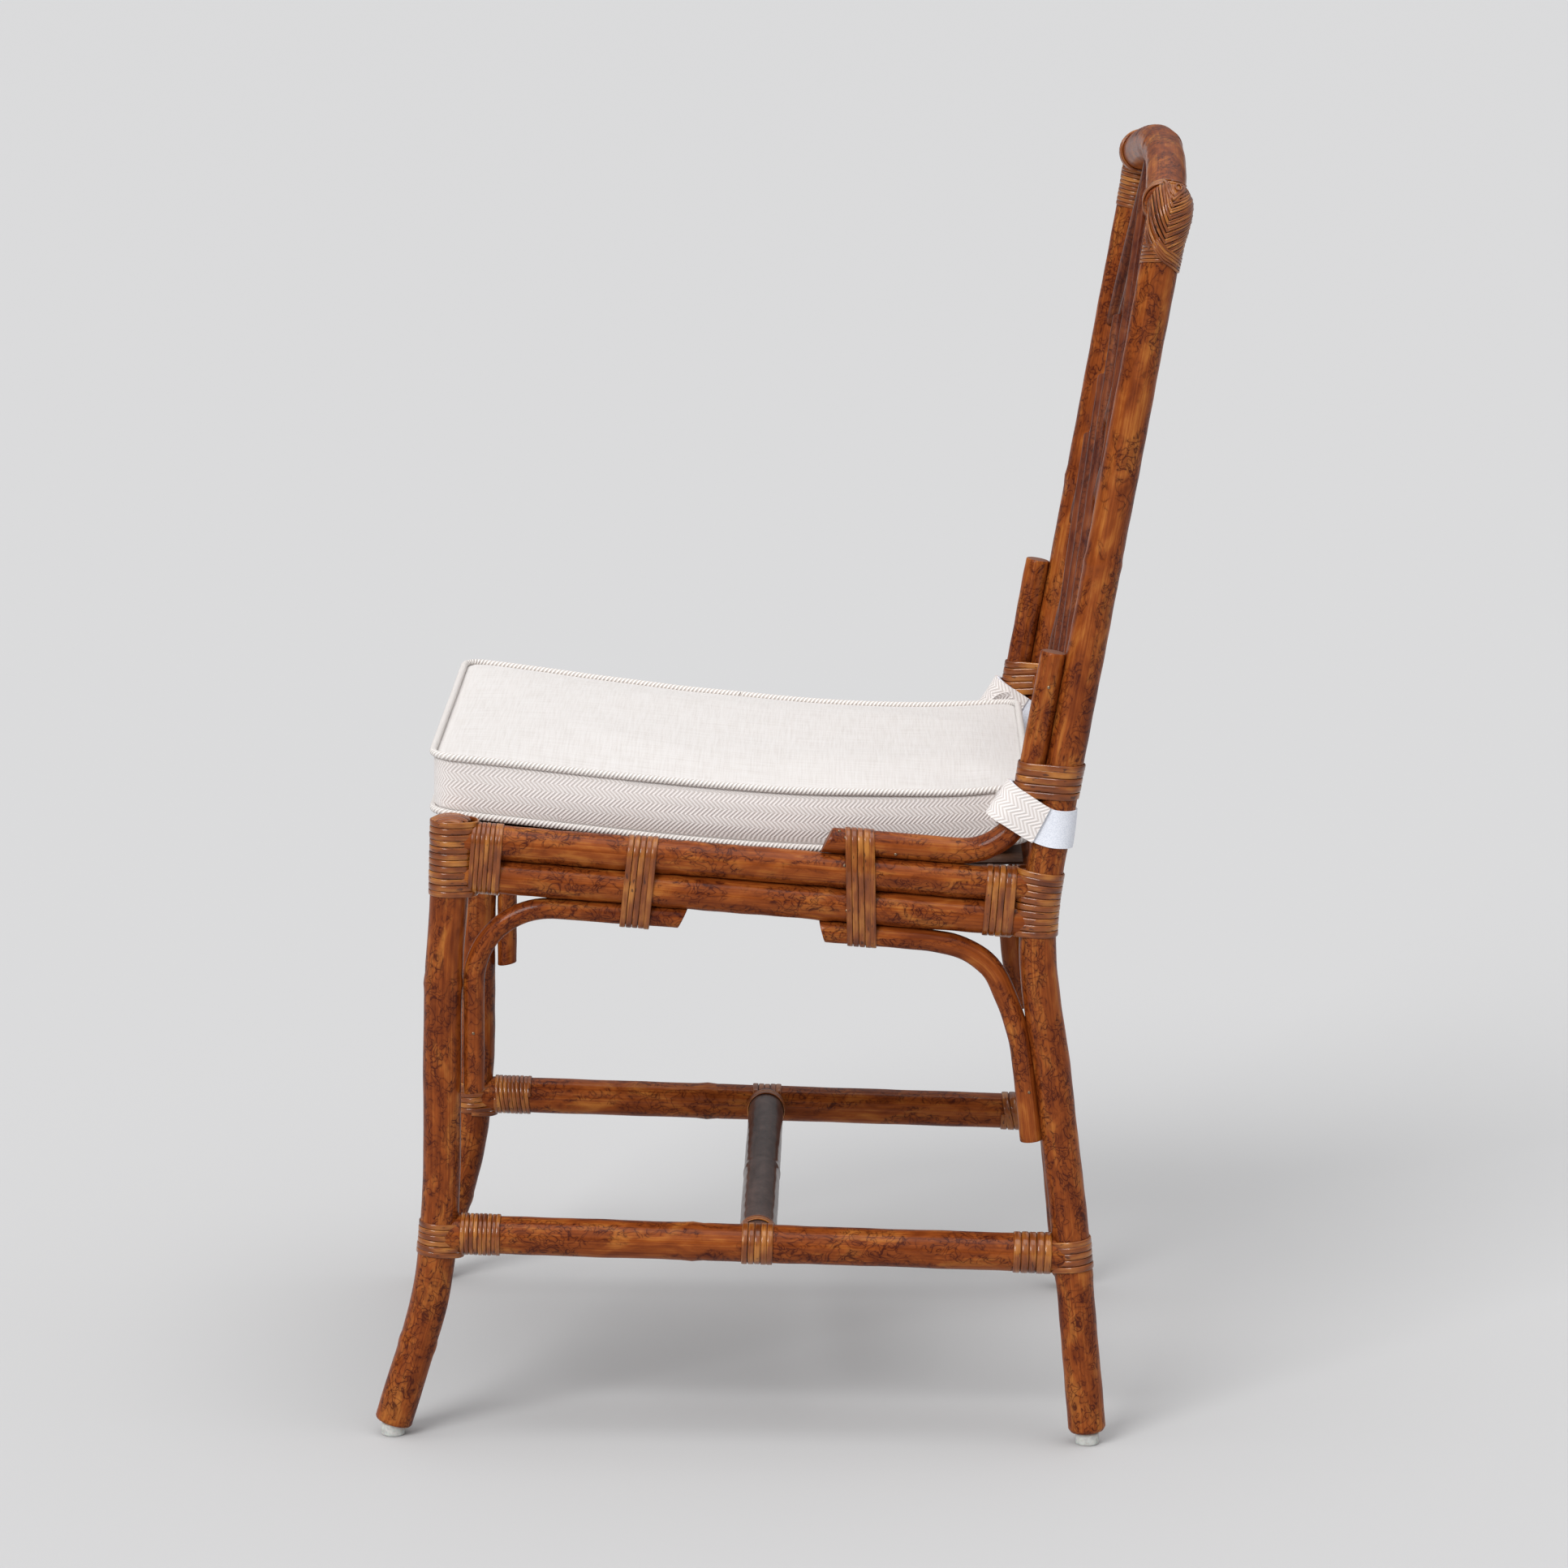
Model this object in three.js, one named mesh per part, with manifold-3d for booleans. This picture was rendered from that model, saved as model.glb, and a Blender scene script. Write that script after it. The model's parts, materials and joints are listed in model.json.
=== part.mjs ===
// Rattan dining chair: bent-pole frame, lattice back, peel-bound joints and a strapped seat cushion.
// Millimetres, +Z up. The chair faces -Y, its left side is +X, the origin is on the floor under its middle.
import * as THREE from 'three';
import { mergeVertices } from 'three/addons/utils/BufferGeometryUtils.js';
import Module from 'manifold-3d';

const wasm = await Module();
wasm.setup();

// Stance
const sideSpacing = 418;
const standShift = -1.5;
const floorGap = 9;
const fitClearance = 0.3;
const cutOverrun = 30;
const weldDistance = 0.0001;
const poleSides = 12;
const braceSides = 10;
const latticeSides = 8;
const poleBendSteps = 6;
const crestSteps = 14;
const panelSteps = 12;
const strapBendSteps = 6;

// Seat height: where the side rails meet the front legs, from which legs, braces and cushion take their heights
const railHeight = 415.4;

// Front legs: upright to the stretcher, then swept forward to the foot
const legRadius = 13.6;
const frontLegRise = 38.6;
const frontLegTop = railHeight + frontLegRise;
const frontLegTopY = -229.5;
const footSweep = 42.6;
const legHeightShares = [1, 0.88, 0.79, 0.69, 0.55, 0.41, 0.33, 0.26, 0.19, 0.13, 0.07, 0];
const legSweepShares = [0, 0.055, 0.11, 0.15, 0.165, 0.18, 0.21, 0.3, 0.44, 0.6, 0.79, 1];

// Rear poles: one bent pole is the rear leg and the back post
const postRadius = 13.3;
const rearFootY = 229;
const kneeDrop = 36.9;
const kneeHeight = railHeight - kneeDrop;
const kneeForward = 45;
const kneeBend = 290;
const rearLegBow = 3.2;
const backLeanDegrees = 9.5;
const postLength = 537;

// Seat rails: two stacked poles on every side, the side pairs falling to the rear
const railRadius = 12.2;
const seatFallDegrees = 4.05;

// Stretchers
const stretcherRadius = 13.5;
const stretcherHeight = 150.6;
const stretcherFallDegrees = 1.17;
const crossRadius = 13.4;
const crossY = -10;

// Arched braces under the side rails
const frontBraceRadius = 7.6;
const frontBraceGap = 1.9;
const frontBraceRailGap = 0.8;
const frontBraceFoot = 255;
const frontBraceEnd = -65;
const frontBraceBend = 68;
const rearBraceRadius = 8;
const rearBraceGap = 0.6;
const rearBraceFoot = 224;
const rearBraceEnd = 34;
const rearBraceBend = 62;

// Back braces: along the top of the side rails, then up the front of the post
const backBraceRadius = 9.1;
const backBraceEnd = 36;
const backBraceRise = 164.6;
const backBraceTop = railHeight + backBraceRise;
const backBraceBend = 45;
const braceEndBevelDegrees = 24;

// Crest rail and lower back rail
const crestRadius = 14.2;
const crestDrop = 16;
const crestRise = 24;
const crestBow = 4;
const lowerRailRadius = 10;
const lowerRailRise = 109;

// Lattice in the back: two families of sloping bars, the falling ones lapped over the rising ones
const latticeRadius = 4.2;
const latticeForward = 3;
const latticeLap = 4;
const latticeSlopeDegrees = 52.2;
const latticeCornerOnCrest = 83;
const latticeLongOnCrest = 40;
const latticeInnerJoints = { upper: 60, middle: 99, lower: 138 };

// Peel bindings
const strandWidth = 5.6;
const strandThickness = 1.5;
const strandSpace = 0.9;
const strandSteps = 8;
const cornerWrapOnLeg = 54;
const cornerWrapOnRails = 25;
const rearWrapOnLeg = 46;
const railWrapLength = 20;
const frontRailWrapY = -96;
const rearRailWrapY = 59;
const postWrapLength = 27;
const postWrapRise = 111;
const crestWrapOnPost = 46;
const crestWrapOnRail = 7;
const stretcherWrapOnLeg = 21;
const stretcherWrapOnRail = 27;
const crossWrapOnSide = 21;
const crossWrapOnBar = 7;

// Glides
const glideRadius = 8.5;
const glideRim = 1.5;

// Seat panel
const panelHalfWidth = 191.5;
const panelThickness = 3;

// Cushion
const cushionFrontY = -246;
const cushionRearY = 178;
const cushionFrontHalf = 195;
const cushionRearHalf = 169;
const cushionFrontRise = 41.2;
const cushionRearRise = 12.1;
const cushionFrontBase = railHeight + cushionFrontRise;
const cushionRearBase = railHeight + cushionRearRise;
const cushionBaseDip = 11;
const cushionFrontSide = 38.4;
const cushionRearSide = 43.5;
const cushionFrontRim = cushionFrontBase + cushionFrontSide;
const cushionRearRim = cushionRearBase + cushionRearSide;
const cushionRimDip = 11;
const cushionCrown = 7;
const cushionDrawIn = 4;
const cushionWelt = 2.6;
const cushionCornerRadius = 24;
const cushionCornerPoints = 4;
const cushionSidePoints = 6;

// Hook-and-loop straps that hold the cushion to the back
const strapWidth = 27;
const strapThickness = 1.8;
const strapSlopeDegrees = 24.4;
const strapRise = 75;
const strapFrontSlack = 7.4;
const strapTail = 33;

// Worked-out directions and places
const radians = THREE.MathUtils.degToRad;
const sideX = sideSpacing / 2;
const lean = radians(backLeanDegrees);
const seatFall = radians(seatFallDegrees);
const stretcherFall = radians(stretcherFallDegrees);
const strandPitch = strandWidth + strandSpace;
const strandReach = (radius) => (radius + fitClearance) / Math.cos(Math.PI / strandSteps);
const strandOuter = (radius) => strandReach(radius) + strandThickness / Math.cos(Math.PI / strandSteps);
const upBack = new THREE.Vector3(0, Math.sin(lean), Math.cos(lean));
const backNormal = new THREE.Vector3(0, Math.cos(lean), -Math.sin(lean));
const railHeading = new THREE.Vector3(0, Math.cos(seatFall), -Math.sin(seatFall));
const railUp = new THREE.Vector3(0, Math.sin(seatFall), Math.cos(seatFall));
const stretcherHeading = new THREE.Vector3(0, Math.cos(stretcherFall), -Math.sin(stretcherFall));
const acrossX = new THREE.Vector3(1, 0, 0);
const upZ = new THREE.Vector3(0, 0, 1);
const sides = [{ name: 'left', sign: 1 }, { name: 'right', sign: -1 }];

const point = (x, y, z) => new THREE.Vector3(x, y, z);
const moved = (from, direction, distance) => from.clone().addScaledVector(direction, distance);

// A pole's route: stations joined in order, one ring of the pole at each
class Route extends THREE.Curve {
  constructor(stations) {
    super();
    this.stations = stations;
    this.runs = [0];
    for (let i = 1; i < stations.length; i += 1) {
      this.runs.push(this.runs[i - 1] + stations[i].distanceTo(stations[i - 1]));
    }
  }

  stationHeading(index) {
    const before = this.stations[Math.max(index - 1, 0)];
    const after = this.stations[Math.min(index + 1, this.stations.length - 1)];
    return after.clone().sub(before).normalize();
  }

  getPoint(share) {
    const place = share * (this.stations.length - 1);
    const index = Math.min(Math.floor(place), this.stations.length - 2);
    return this.stations[index].clone().lerp(this.stations[index + 1], place - index);
  }

  getPointAt(share) {
    return this.getPoint(share);
  }

  getTangentAt(share) {
    return this.stationHeading(Math.round(share * (this.stations.length - 1)));
  }

  segmentAt(distance) {
    let index = 0;
    while (index < this.runs.length - 2 && this.runs[index + 1] < distance) {
      index += 1;
    }
    return { index, share: (distance - this.runs[index]) / (this.runs[index + 1] - this.runs[index]) };
  }

  at(distance) {
    const { index, share } = this.segmentAt(distance);
    return this.stations[index].clone().lerp(this.stations[index + 1], share);
  }

  heading(distance) {
    const { index, share } = this.segmentAt(distance);
    return this.stationHeading(index).lerp(this.stationHeading(index + 1), share).normalize();
  }

  distanceAtHeight(height) {
    for (let i = 1; i < this.stations.length; i += 1) {
      const low = this.stations[i - 1].z;
      const high = this.stations[i].z;
      if ((low - height) * (high - height) <= 0 && low !== high) {
        return this.runs[i - 1] + (this.runs[i] - this.runs[i - 1]) * (height - low) / (high - low);
      }
    }
    return height < this.stations[0].z ? 0 : this.runs[this.runs.length - 1];
  }
}

// Three corners of a bent pole become a straight, an arc and a straight
function bentStations(start, corner, end, bend, arcSteps) {
  const inward = start.clone().sub(corner).normalize();
  const outward = end.clone().sub(corner).normalize();
  const half = inward.angleTo(outward) / 2;
  const trim = bend / Math.tan(half);
  const centre = moved(corner, inward.clone().add(outward).normalize(), bend / Math.sin(half));
  const from = moved(corner, inward, trim).sub(centre);
  const axis = from.clone().cross(moved(corner, outward, trim).sub(centre)).normalize();
  const turn = Math.PI - 2 * half;
  const stations = [start.clone()];
  for (let i = 0; i <= arcSteps; i += 1) {
    stations.push(from.clone().applyAxisAngle(axis, turn * i / arcSteps).add(centre));
  }
  stations.push(end.clone());
  return stations;
}

// Closed geometry and solids
function closed(geometry) {
  const bare = geometry.index ? geometry.toNonIndexed() : geometry.clone();
  bare.deleteAttribute('normal');
  bare.deleteAttribute('uv');
  const merged = mergeVertices(bare, weldDistance);
  return signedVolume(merged) < 0 ? turnedOut(merged) : merged;
}

function signedVolume(geometry) {
  const places = geometry.getAttribute('position');
  const index = geometry.getIndex();
  const [a, b, c] = [point(0, 0, 0), point(0, 0, 0), point(0, 0, 0)];
  let volume = 0;
  for (let i = 0; i < index.count; i += 3) {
    a.fromBufferAttribute(places, index.getX(i));
    b.fromBufferAttribute(places, index.getX(i + 1));
    c.fromBufferAttribute(places, index.getX(i + 2));
    volume += a.dot(b.cross(c));
  }
  return volume;
}

function turnedOut(geometry) {
  const index = Array.from(geometry.getIndex().array);
  for (let i = 0; i < index.length; i += 3) {
    [index[i], index[i + 1]] = [index[i + 1], index[i]];
  }
  geometry.setIndex(index);
  return geometry;
}

function solid(geometry) {
  const shape = closed(geometry);
  const vertProperties = new Float32Array(shape.getAttribute('position').array);
  const triVerts = new Uint32Array(shape.getIndex().array);
  return new wasm.Manifold(new wasm.Mesh({ numProp: 3, vertProperties, triVerts }));
}

function geometryOf(body) {
  const mesh = body.getMesh();
  const geometry = new THREE.BufferGeometry();
  geometry.setAttribute('position', new THREE.BufferAttribute(new Float32Array(mesh.vertProperties), 3));
  geometry.setIndex(Array.from(mesh.triVerts));
  return geometry;
}

function cutBy(geometry, cutters) {
  let body = solid(geometry);
  for (const cutter of cutters) {
    body = body.subtract(solid(cutter));
  }
  return geometryOf(body);
}

function joined(first, second) {
  return geometryOf(solid(first).add(solid(second)));
}

function pole(route, radius, sideCount = poleSides) {
  const shape = new THREE.Shape();
  for (let i = 0; i < sideCount; i += 1) {
    const angle = 2 * Math.PI * (i + 0.5) / sideCount;
    const [x, y] = [radius * Math.cos(angle), radius * Math.sin(angle)];
    if (i === 0) {
      shape.moveTo(x, y);
    } else {
      shape.lineTo(x, y);
    }
  }
  shape.closePath();
  const steps = route.stations.length - 1;
  return new THREE.ExtrudeGeometry(shape, { steps, bevelEnabled: false, extrudePath: route });
}

function placed(geometry, x) {
  return geometry.clone().translate(x, 0, 0);
}

// A block that trims a pole's end square to a direction
function trimBlock(centre, outward, reach) {
  const block = new THREE.BoxGeometry(reach, reach, reach);
  const turn = new THREE.Quaternion().setFromUnitVectors(upZ, outward);
  block.translate(0, 0, reach / 2);
  block.applyQuaternion(turn);
  return block.translate(centre.x, centre.y, centre.z);
}

// Routes in the plane of a side frame
const frontLegRoute = new Route(legHeightShares.map((share, i) => point(
  0,
  frontLegTopY - footSweep * legSweepShares[i],
  floorGap + (frontLegTop - floorGap) * share,
)).reverse());

const knee = point(0, rearFootY - kneeForward, kneeHeight);
const rearFoot = point(0, rearFootY, floorGap);
const postTop = moved(knee, upBack, postLength);

function rearPoleStations() {
  const bent = bentStations(rearFoot, knee, postTop, kneeBend, poleBendSteps);
  const legEnd = bent[1];
  const stations = [];
  const legSteps = 4;
  for (let i = 0; i < legSteps; i += 1) {
    const share = i / legSteps;
    const place = rearFoot.clone().lerp(legEnd, share);
    place.y += rearLegBow * 4 * share * (1 - share);
    stations.push(place);
  }
  return stations.concat(bent.slice(1));
}

const rearPoleRoute = new Route(rearPoleStations());
const frontLegAt = (height) => frontLegRoute.at(frontLegRoute.distanceAtHeight(height));
const rearPoleAt = (height) => rearPoleRoute.at(rearPoleRoute.distanceAtHeight(height));

const railStart = point(0, frontLegAt(railHeight).y, railHeight);
const railAt = (y, rise) => moved(railStart, railHeading, (y - railStart.y) / Math.cos(seatFall))
  .addScaledVector(railUp, rise);
const railStack = 2 * railRadius + fitClearance;
const rearRailHeight = railAt(knee.y, 0).z;

const stretcherStart = point(0, frontLegAt(stretcherHeight).y, stretcherHeight);
const stretcherAt = (y) => {
  const run = (y - stretcherStart.y) / Math.cos(stretcherFall);
  return moved(stretcherStart, stretcherHeading, run);
};

const backAt = (x, rise, layer = 0) => moved(knee, upBack, rise).addScaledVector(backNormal, layer)
  .add(point(x, 0, 0));
const crestEndRise = postLength - crestDrop;

// Legs and posts
function frontLeg() {
  const foot = frontLegRoute.stations[0];
  const below = moved(foot, frontLegRoute.stationHeading(0), -legRadius);
  const route = new Route([below, ...frontLegRoute.stations.slice(1)]);
  const floorCut = trimBlock(point(0, foot.y, floorGap), upZ.clone().negate(), 4 * cutOverrun);
  return cutBy(pole(route, legRadius), [floorCut]);
}

function rearPole() {
  const below = moved(rearFoot, rearPoleRoute.stationHeading(0), -postRadius);
  const route = new Route([below, ...rearPoleRoute.stations.slice(1)]);
  const floorCut = trimBlock(point(0, rearFootY, floorGap), upZ.clone().negate(), 4 * cutOverrun);
  return cutBy(pole(route, postRadius), [floorCut]);
}

function glide() {
  const height = floorGap - fitClearance;
  const profile = [
    new THREE.Vector2(0, 0),
    new THREE.Vector2(glideRadius - glideRim, 0),
    new THREE.Vector2(glideRadius, glideRim),
    new THREE.Vector2(glideRadius, height),
    new THREE.Vector2(0, height),
  ];
  return new THREE.LatheGeometry(profile, 14).rotateX(Math.PI / 2);
}

// Envelopes that bound poles leave free for the strands round their neighbour
const envelopeRadius = (radius) => (strandOuter(radius) + fitClearance) / Math.cos(Math.PI / poleSides);
const boundLeg = () => pole(frontLegRoute, envelopeRadius(legRadius));
const boundPost = () => pole(rearPoleRoute, envelopeRadius(postRadius));

// Rails and stretchers between bound legs
function sideRail(rise) {
  const route = new Route([railAt(railStart.y, rise), railAt(rearPoleAt(rearRailHeight + rise).y, rise)]);
  return cutBy(pole(route, railRadius), [boundLeg(), boundPost()]);
}

function railRoundSides(rise) {
  return sides.map(({ sign }) => {
    const route = new Route([railAt(railStart.y - cutOverrun, rise), railAt(rearFootY + cutOverrun, rise)]);
    return placed(pole(route, railRadius + fitClearance), sign * sideX);
  });
}

function crossRail(centre, rise, envelope) {
  const route = new Route([point(-sideX, centre.y, centre.z), point(sideX, centre.y, centre.z)]);
  const envelopes = sides.map(({ sign }) => placed(envelope, sign * sideX));
  return cutBy(pole(route, railRadius), [...envelopes, ...railRoundSides(rise)]);
}

const frontRailCentre = (rise) => point(0, frontLegAt(railHeight + rise).y, railHeight + rise);
const rearRailCentre = (rise) => {
  const height = rearRailHeight + rise;
  return point(0, rearPoleAt(height).y, height);
};

function sideStretcher() {
  const rearEnd = stretcherAt(rearPoleAt(stretcherHeight).y);
  return cutBy(pole(new Route([stretcherStart, rearEnd]), stretcherRadius), [boundLeg(), boundPost()]);
}

function crossStretcher() {
  const height = stretcherAt(crossY).z;
  const route = new Route([point(-sideX, crossY, height), point(sideX, crossY, height)]);
  const boundSide = new Route([stretcherAt(crossY - 3 * cutOverrun), stretcherAt(crossY + 3 * cutOverrun)]);
  const envelope = pole(boundSide, envelopeRadius(stretcherRadius));
  return cutBy(pole(route, crossRadius), sides.map(({ sign }) => placed(envelope, sign * sideX)));
}

// Braces
function frontBraceRoute() {
  const drop = -(railRadius + frontBraceRadius + frontBraceRailGap);
  const upright = frontLegAt(frontBraceFoot).y + legRadius + frontBraceGap + frontBraceRadius;
  const corner = railAt(upright, drop);
  return new Route(bentStations(
    point(0, upright, frontBraceFoot),
    corner,
    railAt(frontBraceEnd, drop),
    frontBraceBend,
    8,
  ));
}

function rearBraceRoute() {
  const drop = -(railRadius + rearBraceRadius + fitClearance);
  const offset = postRadius + rearBraceGap + rearBraceRadius;
  const foot = rearPoleAt(rearBraceFoot);
  const high = rearPoleAt((kneeHeight + rearBraceFoot) / 2);
  const heading = high.clone().sub(foot).normalize();
  const side = point(0, -heading.z, heading.y);
  const start = moved(foot, side, offset);
  const end = railAt(rearBraceEnd, drop);
  const run = end.clone().sub(start);
  const reach = (run.y * railHeading.z - run.z * railHeading.y)
    / (heading.y * railHeading.z - heading.z * railHeading.y);
  return new Route(bentStations(start, moved(start, heading, reach), end, rearBraceBend, 8));
}

function backBraceRoute() {
  const rise = railStack + railRadius + backBraceRadius + fitClearance;
  const offset = -(postRadius + backBraceRadius + fitClearance);
  const base = moved(knee, backNormal, offset);
  const start = railAt(backBraceEnd, rise);
  const run = start.clone().sub(base);
  const reach = (run.y * railHeading.z - run.z * railHeading.y)
    / (upBack.y * railHeading.z - upBack.z * railHeading.y);
  const top = moved(base, upBack, (backBraceTop - base.z) / upBack.z);
  return new Route(bentStations(start, moved(base, upBack, reach), top, backBraceBend, 8));
}

// The hidden end of a brace is cut at a slant
function slantCut(route, last, outwardLean) {
  const index = last ? route.stations.length - 1 : 0;
  const heading = route.stationHeading(index).multiplyScalar(last ? 1 : -1);
  const outward = heading.clone().applyAxisAngle(acrossX, outwardLean);
  return trimBlock(moved(route.stations[index], heading, -backBraceRadius / 2), outward, 4 * cutOverrun);
}

function brace(route, radius, last, outwardLean) {
  return cutBy(pole(route, radius, braceSides), [slantCut(route, last, outwardLean)]);
}

// Crest rail, lower back rail and lattice
const crestHalf = sideX;
const crestShareAt = (x) => 1 - (x / crestHalf) ** 2;
const crestAt = (x) => {
  const rise = crestEndRise + crestRise * crestShareAt(x);
  return backAt(x, rise, crestBow * (crestShareAt(x) - 1));
};

function crestRoute() {
  const stations = [];
  for (let i = 0; i <= crestSteps; i += 1) {
    stations.push(crestAt(crestHalf * (2 * i / crestSteps - 1)));
  }
  return new Route(stations);
}

function crestRail() {
  const envelopes = sides.map(({ sign }) => placed(boundPost(), sign * sideX));
  return cutBy(pole(crestRoute(), crestRadius), envelopes);
}

function lowerBackRail() {
  const half = sideX - strandOuter(postRadius) - fitClearance;
  const route = new Route([backAt(-half, lowerRailRise), backAt(half, lowerRailRise)]);
  return pole(route, lowerRailRadius, braceSides);
}

function backSurround() {
  const postSpace = pole(rearPoleRoute, postRadius + fitClearance);
  const lowerRoute = new Route([backAt(-sideX, lowerRailRise), backAt(sideX, lowerRailRise)]);
  return [
    pole(crestRoute(), crestRadius + fitClearance),
    pole(lowerRoute, lowerRailRadius + fitClearance),
    ...sides.map(({ sign }) => placed(postSpace, sign * sideX)),
  ];
}

// A lattice bar runs from its top down towards one side; the family's sign says which
const latticeFall = Math.tan(radians(latticeSlopeDegrees));
const crestRiseAt = (x) => crestEndRise + crestRise * crestShareAt(x);
const longRiseAt = (run) => crestRiseAt(latticeLongOnCrest) - latticeFall * (latticeLongOnCrest + run);

function latticeBars({ name, sign }) {
  const layer = -latticeForward - latticeLap / 2 * sign;
  const bar = (label, x, rise, run) => ({
    name: `lattice_${label}_${name}`,
    ends: [backAt(sign * x, rise, layer), backAt(sign * (x + run), rise - latticeFall * run, layer)],
  });
  const runToRail = (rise) => (rise - lowerRailRise) / latticeFall;
  const inner = ([label, joint]) => {
    const rise = longRiseAt(joint);
    return bar(`inner_${label}`, -joint, rise, runToRail(rise));
  };
  return [
    bar('corner', latticeCornerOnCrest, crestRiseAt(latticeCornerOnCrest), sideX - latticeCornerOnCrest),
    bar('long', -latticeLongOnCrest, crestRiseAt(latticeLongOnCrest), sideX + latticeLongOnCrest),
    ...Object.entries(latticeInnerJoints).map(inner),
  ];
}

const latticeRod = ({ ends }, radius) => pole(new Route(ends), radius, latticeSides);

// Rising bars are notched where falling bars lap over them
function latticeParts() {
  const [falling, rising] = sides.map(latticeBars);
  const surround = backSurround();
  const laps = falling.map((bar) => latticeRod(bar, latticeRadius + fitClearance));
  return [
    ...falling.map((bar) => ({ name: bar.name, geometry: cutBy(latticeRod(bar, latticeRadius), surround) })),
    ...rising.map((bar) => ({
      name: bar.name,
      geometry: cutBy(latticeRod(bar, latticeRadius), [...surround, ...laps]),
    })),
  ];
}

// A strand's samples: a place on the pole's skin, the outward direction and the strand's half-width vector
function coilSamples({ spine, heading, face, sweep, radius, reach = 0, turns, pitch, lead = false }) {
  const samples = [];
  const across = face.clone().cross(sweep);
  const radial = strandReach(radius);
  const perTurn = reach > 0 ? strandSteps + 2 : strandSteps;
  const add = (count, angle, shift) => {
    const outward = face.clone().multiplyScalar(Math.cos(angle)).addScaledVector(sweep, Math.sin(angle));
    const centre = spine(count / perTurn * pitch).addScaledVector(sweep, shift * reach / 2);
    const local = heading(count / perTurn * pitch);
    const side = local.multiplyScalar(Math.sign(local.dot(across)) * strandWidth / 2);
    const square = outward.addScaledVector(side, -outward.dot(side) / side.lengthSq()).normalize();
    samples.push({ place: moved(centre, square, radial), outward: square.clone(), side: side.clone() });
  };
  let count = 0;
  for (let turn = 0; turn < turns; turn += 1) {
    for (let step = 0; step < strandSteps; step += 1) {
      const angle = 2 * Math.PI * step / strandSteps;
      if (reach > 0 && (step === 0 || step === strandSteps / 2)) {
        add(count, angle, step === 0 ? -1 : 1);
        count += 1;
        add(count, angle, step === 0 ? 1 : -1);
      } else {
        add(count, angle, step < strandSteps / 2 ? 1 : -1);
      }
      count += 1;
    }
  }
  if (lead) {
    add(count, 2 * Math.PI * turns, reach > 0 ? -1 : 0);
  }
  return samples;
}

// An unbroken strand of flat peel through its samples, closed at both ends
function strandGeometry(samples) {
  const places = [];
  const index = [];
  const thick = strandThickness / Math.cos(Math.PI / strandSteps);
  for (const { place, outward, side } of samples) {
    const inner = [place.clone().sub(side), place.clone().add(side)];
    const outer = inner.map((corner) => moved(corner, outward, thick));
    for (const corner of [inner[0], inner[1], outer[1], outer[0]]) {
      places.push(corner.x, corner.y, corner.z);
    }
  }
  for (let i = 0; i < samples.length - 1; i += 1) {
    for (let corner = 0; corner < 4; corner += 1) {
      const next = (corner + 1) % 4;
      const [a, b] = [4 * i + corner, 4 * i + next];
      index.push(a, b, b + 4, a, b + 4, a + 4);
    }
  }
  const last = 4 * (samples.length - 1);
  index.push(0, 2, 1, 0, 3, 2, last, last + 1, last + 2, last, last + 2, last + 3);
  const geometry = new THREE.BufferGeometry();
  geometry.setAttribute('position', new THREE.Float32BufferAttribute(places, 3));
  geometry.setIndex(index);
  return signedVolume(geometry) < 0 ? turnedOut(geometry) : geometry;
}

// The least gap between a strand's turns, measured between the edges of samples half a turn or more apart
function leastGap(samples) {
  let least = Infinity;
  const edges = samples.map(({ place, side }) => [place.clone().sub(side), place.clone().add(side)]);
  for (let i = 0; i < edges.length; i += 1) {
    for (let j = i + strandSteps / 2; j < edges.length; j += 1) {
      for (const near of edges[i]) {
        for (const far of edges[j]) {
          least = Math.min(least, near.distanceTo(far));
        }
      }
    }
  }
  return least;
}

const turnsIn = (length) => Math.max(1, Math.round((length - strandWidth) / strandPitch));

// A binding round one pole or one stack of poles
function singleBinding({ centre, heading, face, sweep, radius, reach, length }) {
  const turns = turnsIn(length);
  const start = moved(centre, heading, -turns * strandPitch / 2);
  return coilSamples({
    spine: (run) => moved(start, heading, run),
    heading: () => heading.clone(),
    face,
    sweep,
    radius,
    reach,
    turns,
    pitch: strandPitch,
    lead: true,
  });
}

// A binding that winds round one pole, crosses on their shared face and winds round the next
function cornerBinding({ face, first, second }) {
  const firstTurns = turnsIn(first.length);
  const secondTurns = turnsIn(second.length);
  const firstSamples = coilSamples({
    spine: (run) => first.route.at(first.start + Math.sign(first.way) * run),
    heading: (run) => first.route.heading(first.start + Math.sign(first.way) * run).multiplyScalar(first.way),
    face,
    sweep: second.heading.clone(),
    radius: first.radius,
    turns: firstTurns,
    pitch: strandPitch,
    lead: true,
  });
  const last = firstSamples[firstSamples.length - 1];
  const from = second.offset + strandWidth / 2;
  const secondSamples = coilSamples({
    spine: (run) => {
      const distance = from + run;
      return second.route ? second.route.at(distance) : moved(second.centre, second.heading, distance);
    },
    heading: (run) => (second.route ? second.route.heading(from + run) : second.heading.clone()),
    face,
    sweep: second.sweep,
    radius: second.radius,
    reach: second.reach,
    turns: secondTurns,
    pitch: strandPitch,
    lead: true,
  });
  const entry = secondSamples[0];
  const drop = last.place.clone().sub(entry.place).dot(second.sweep);
  const corner = {
    place: moved(entry.place, second.sweep, drop),
    outward: face.clone(),
    side: last.side.clone().add(entry.side),
  };
  return [...firstSamples, corner, ...secondSamples];
}

const legWrapOffset = (radius) => strandOuter(radius) + strandSpace;
const strandTurnRoom = strandWidth / 2;

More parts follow.
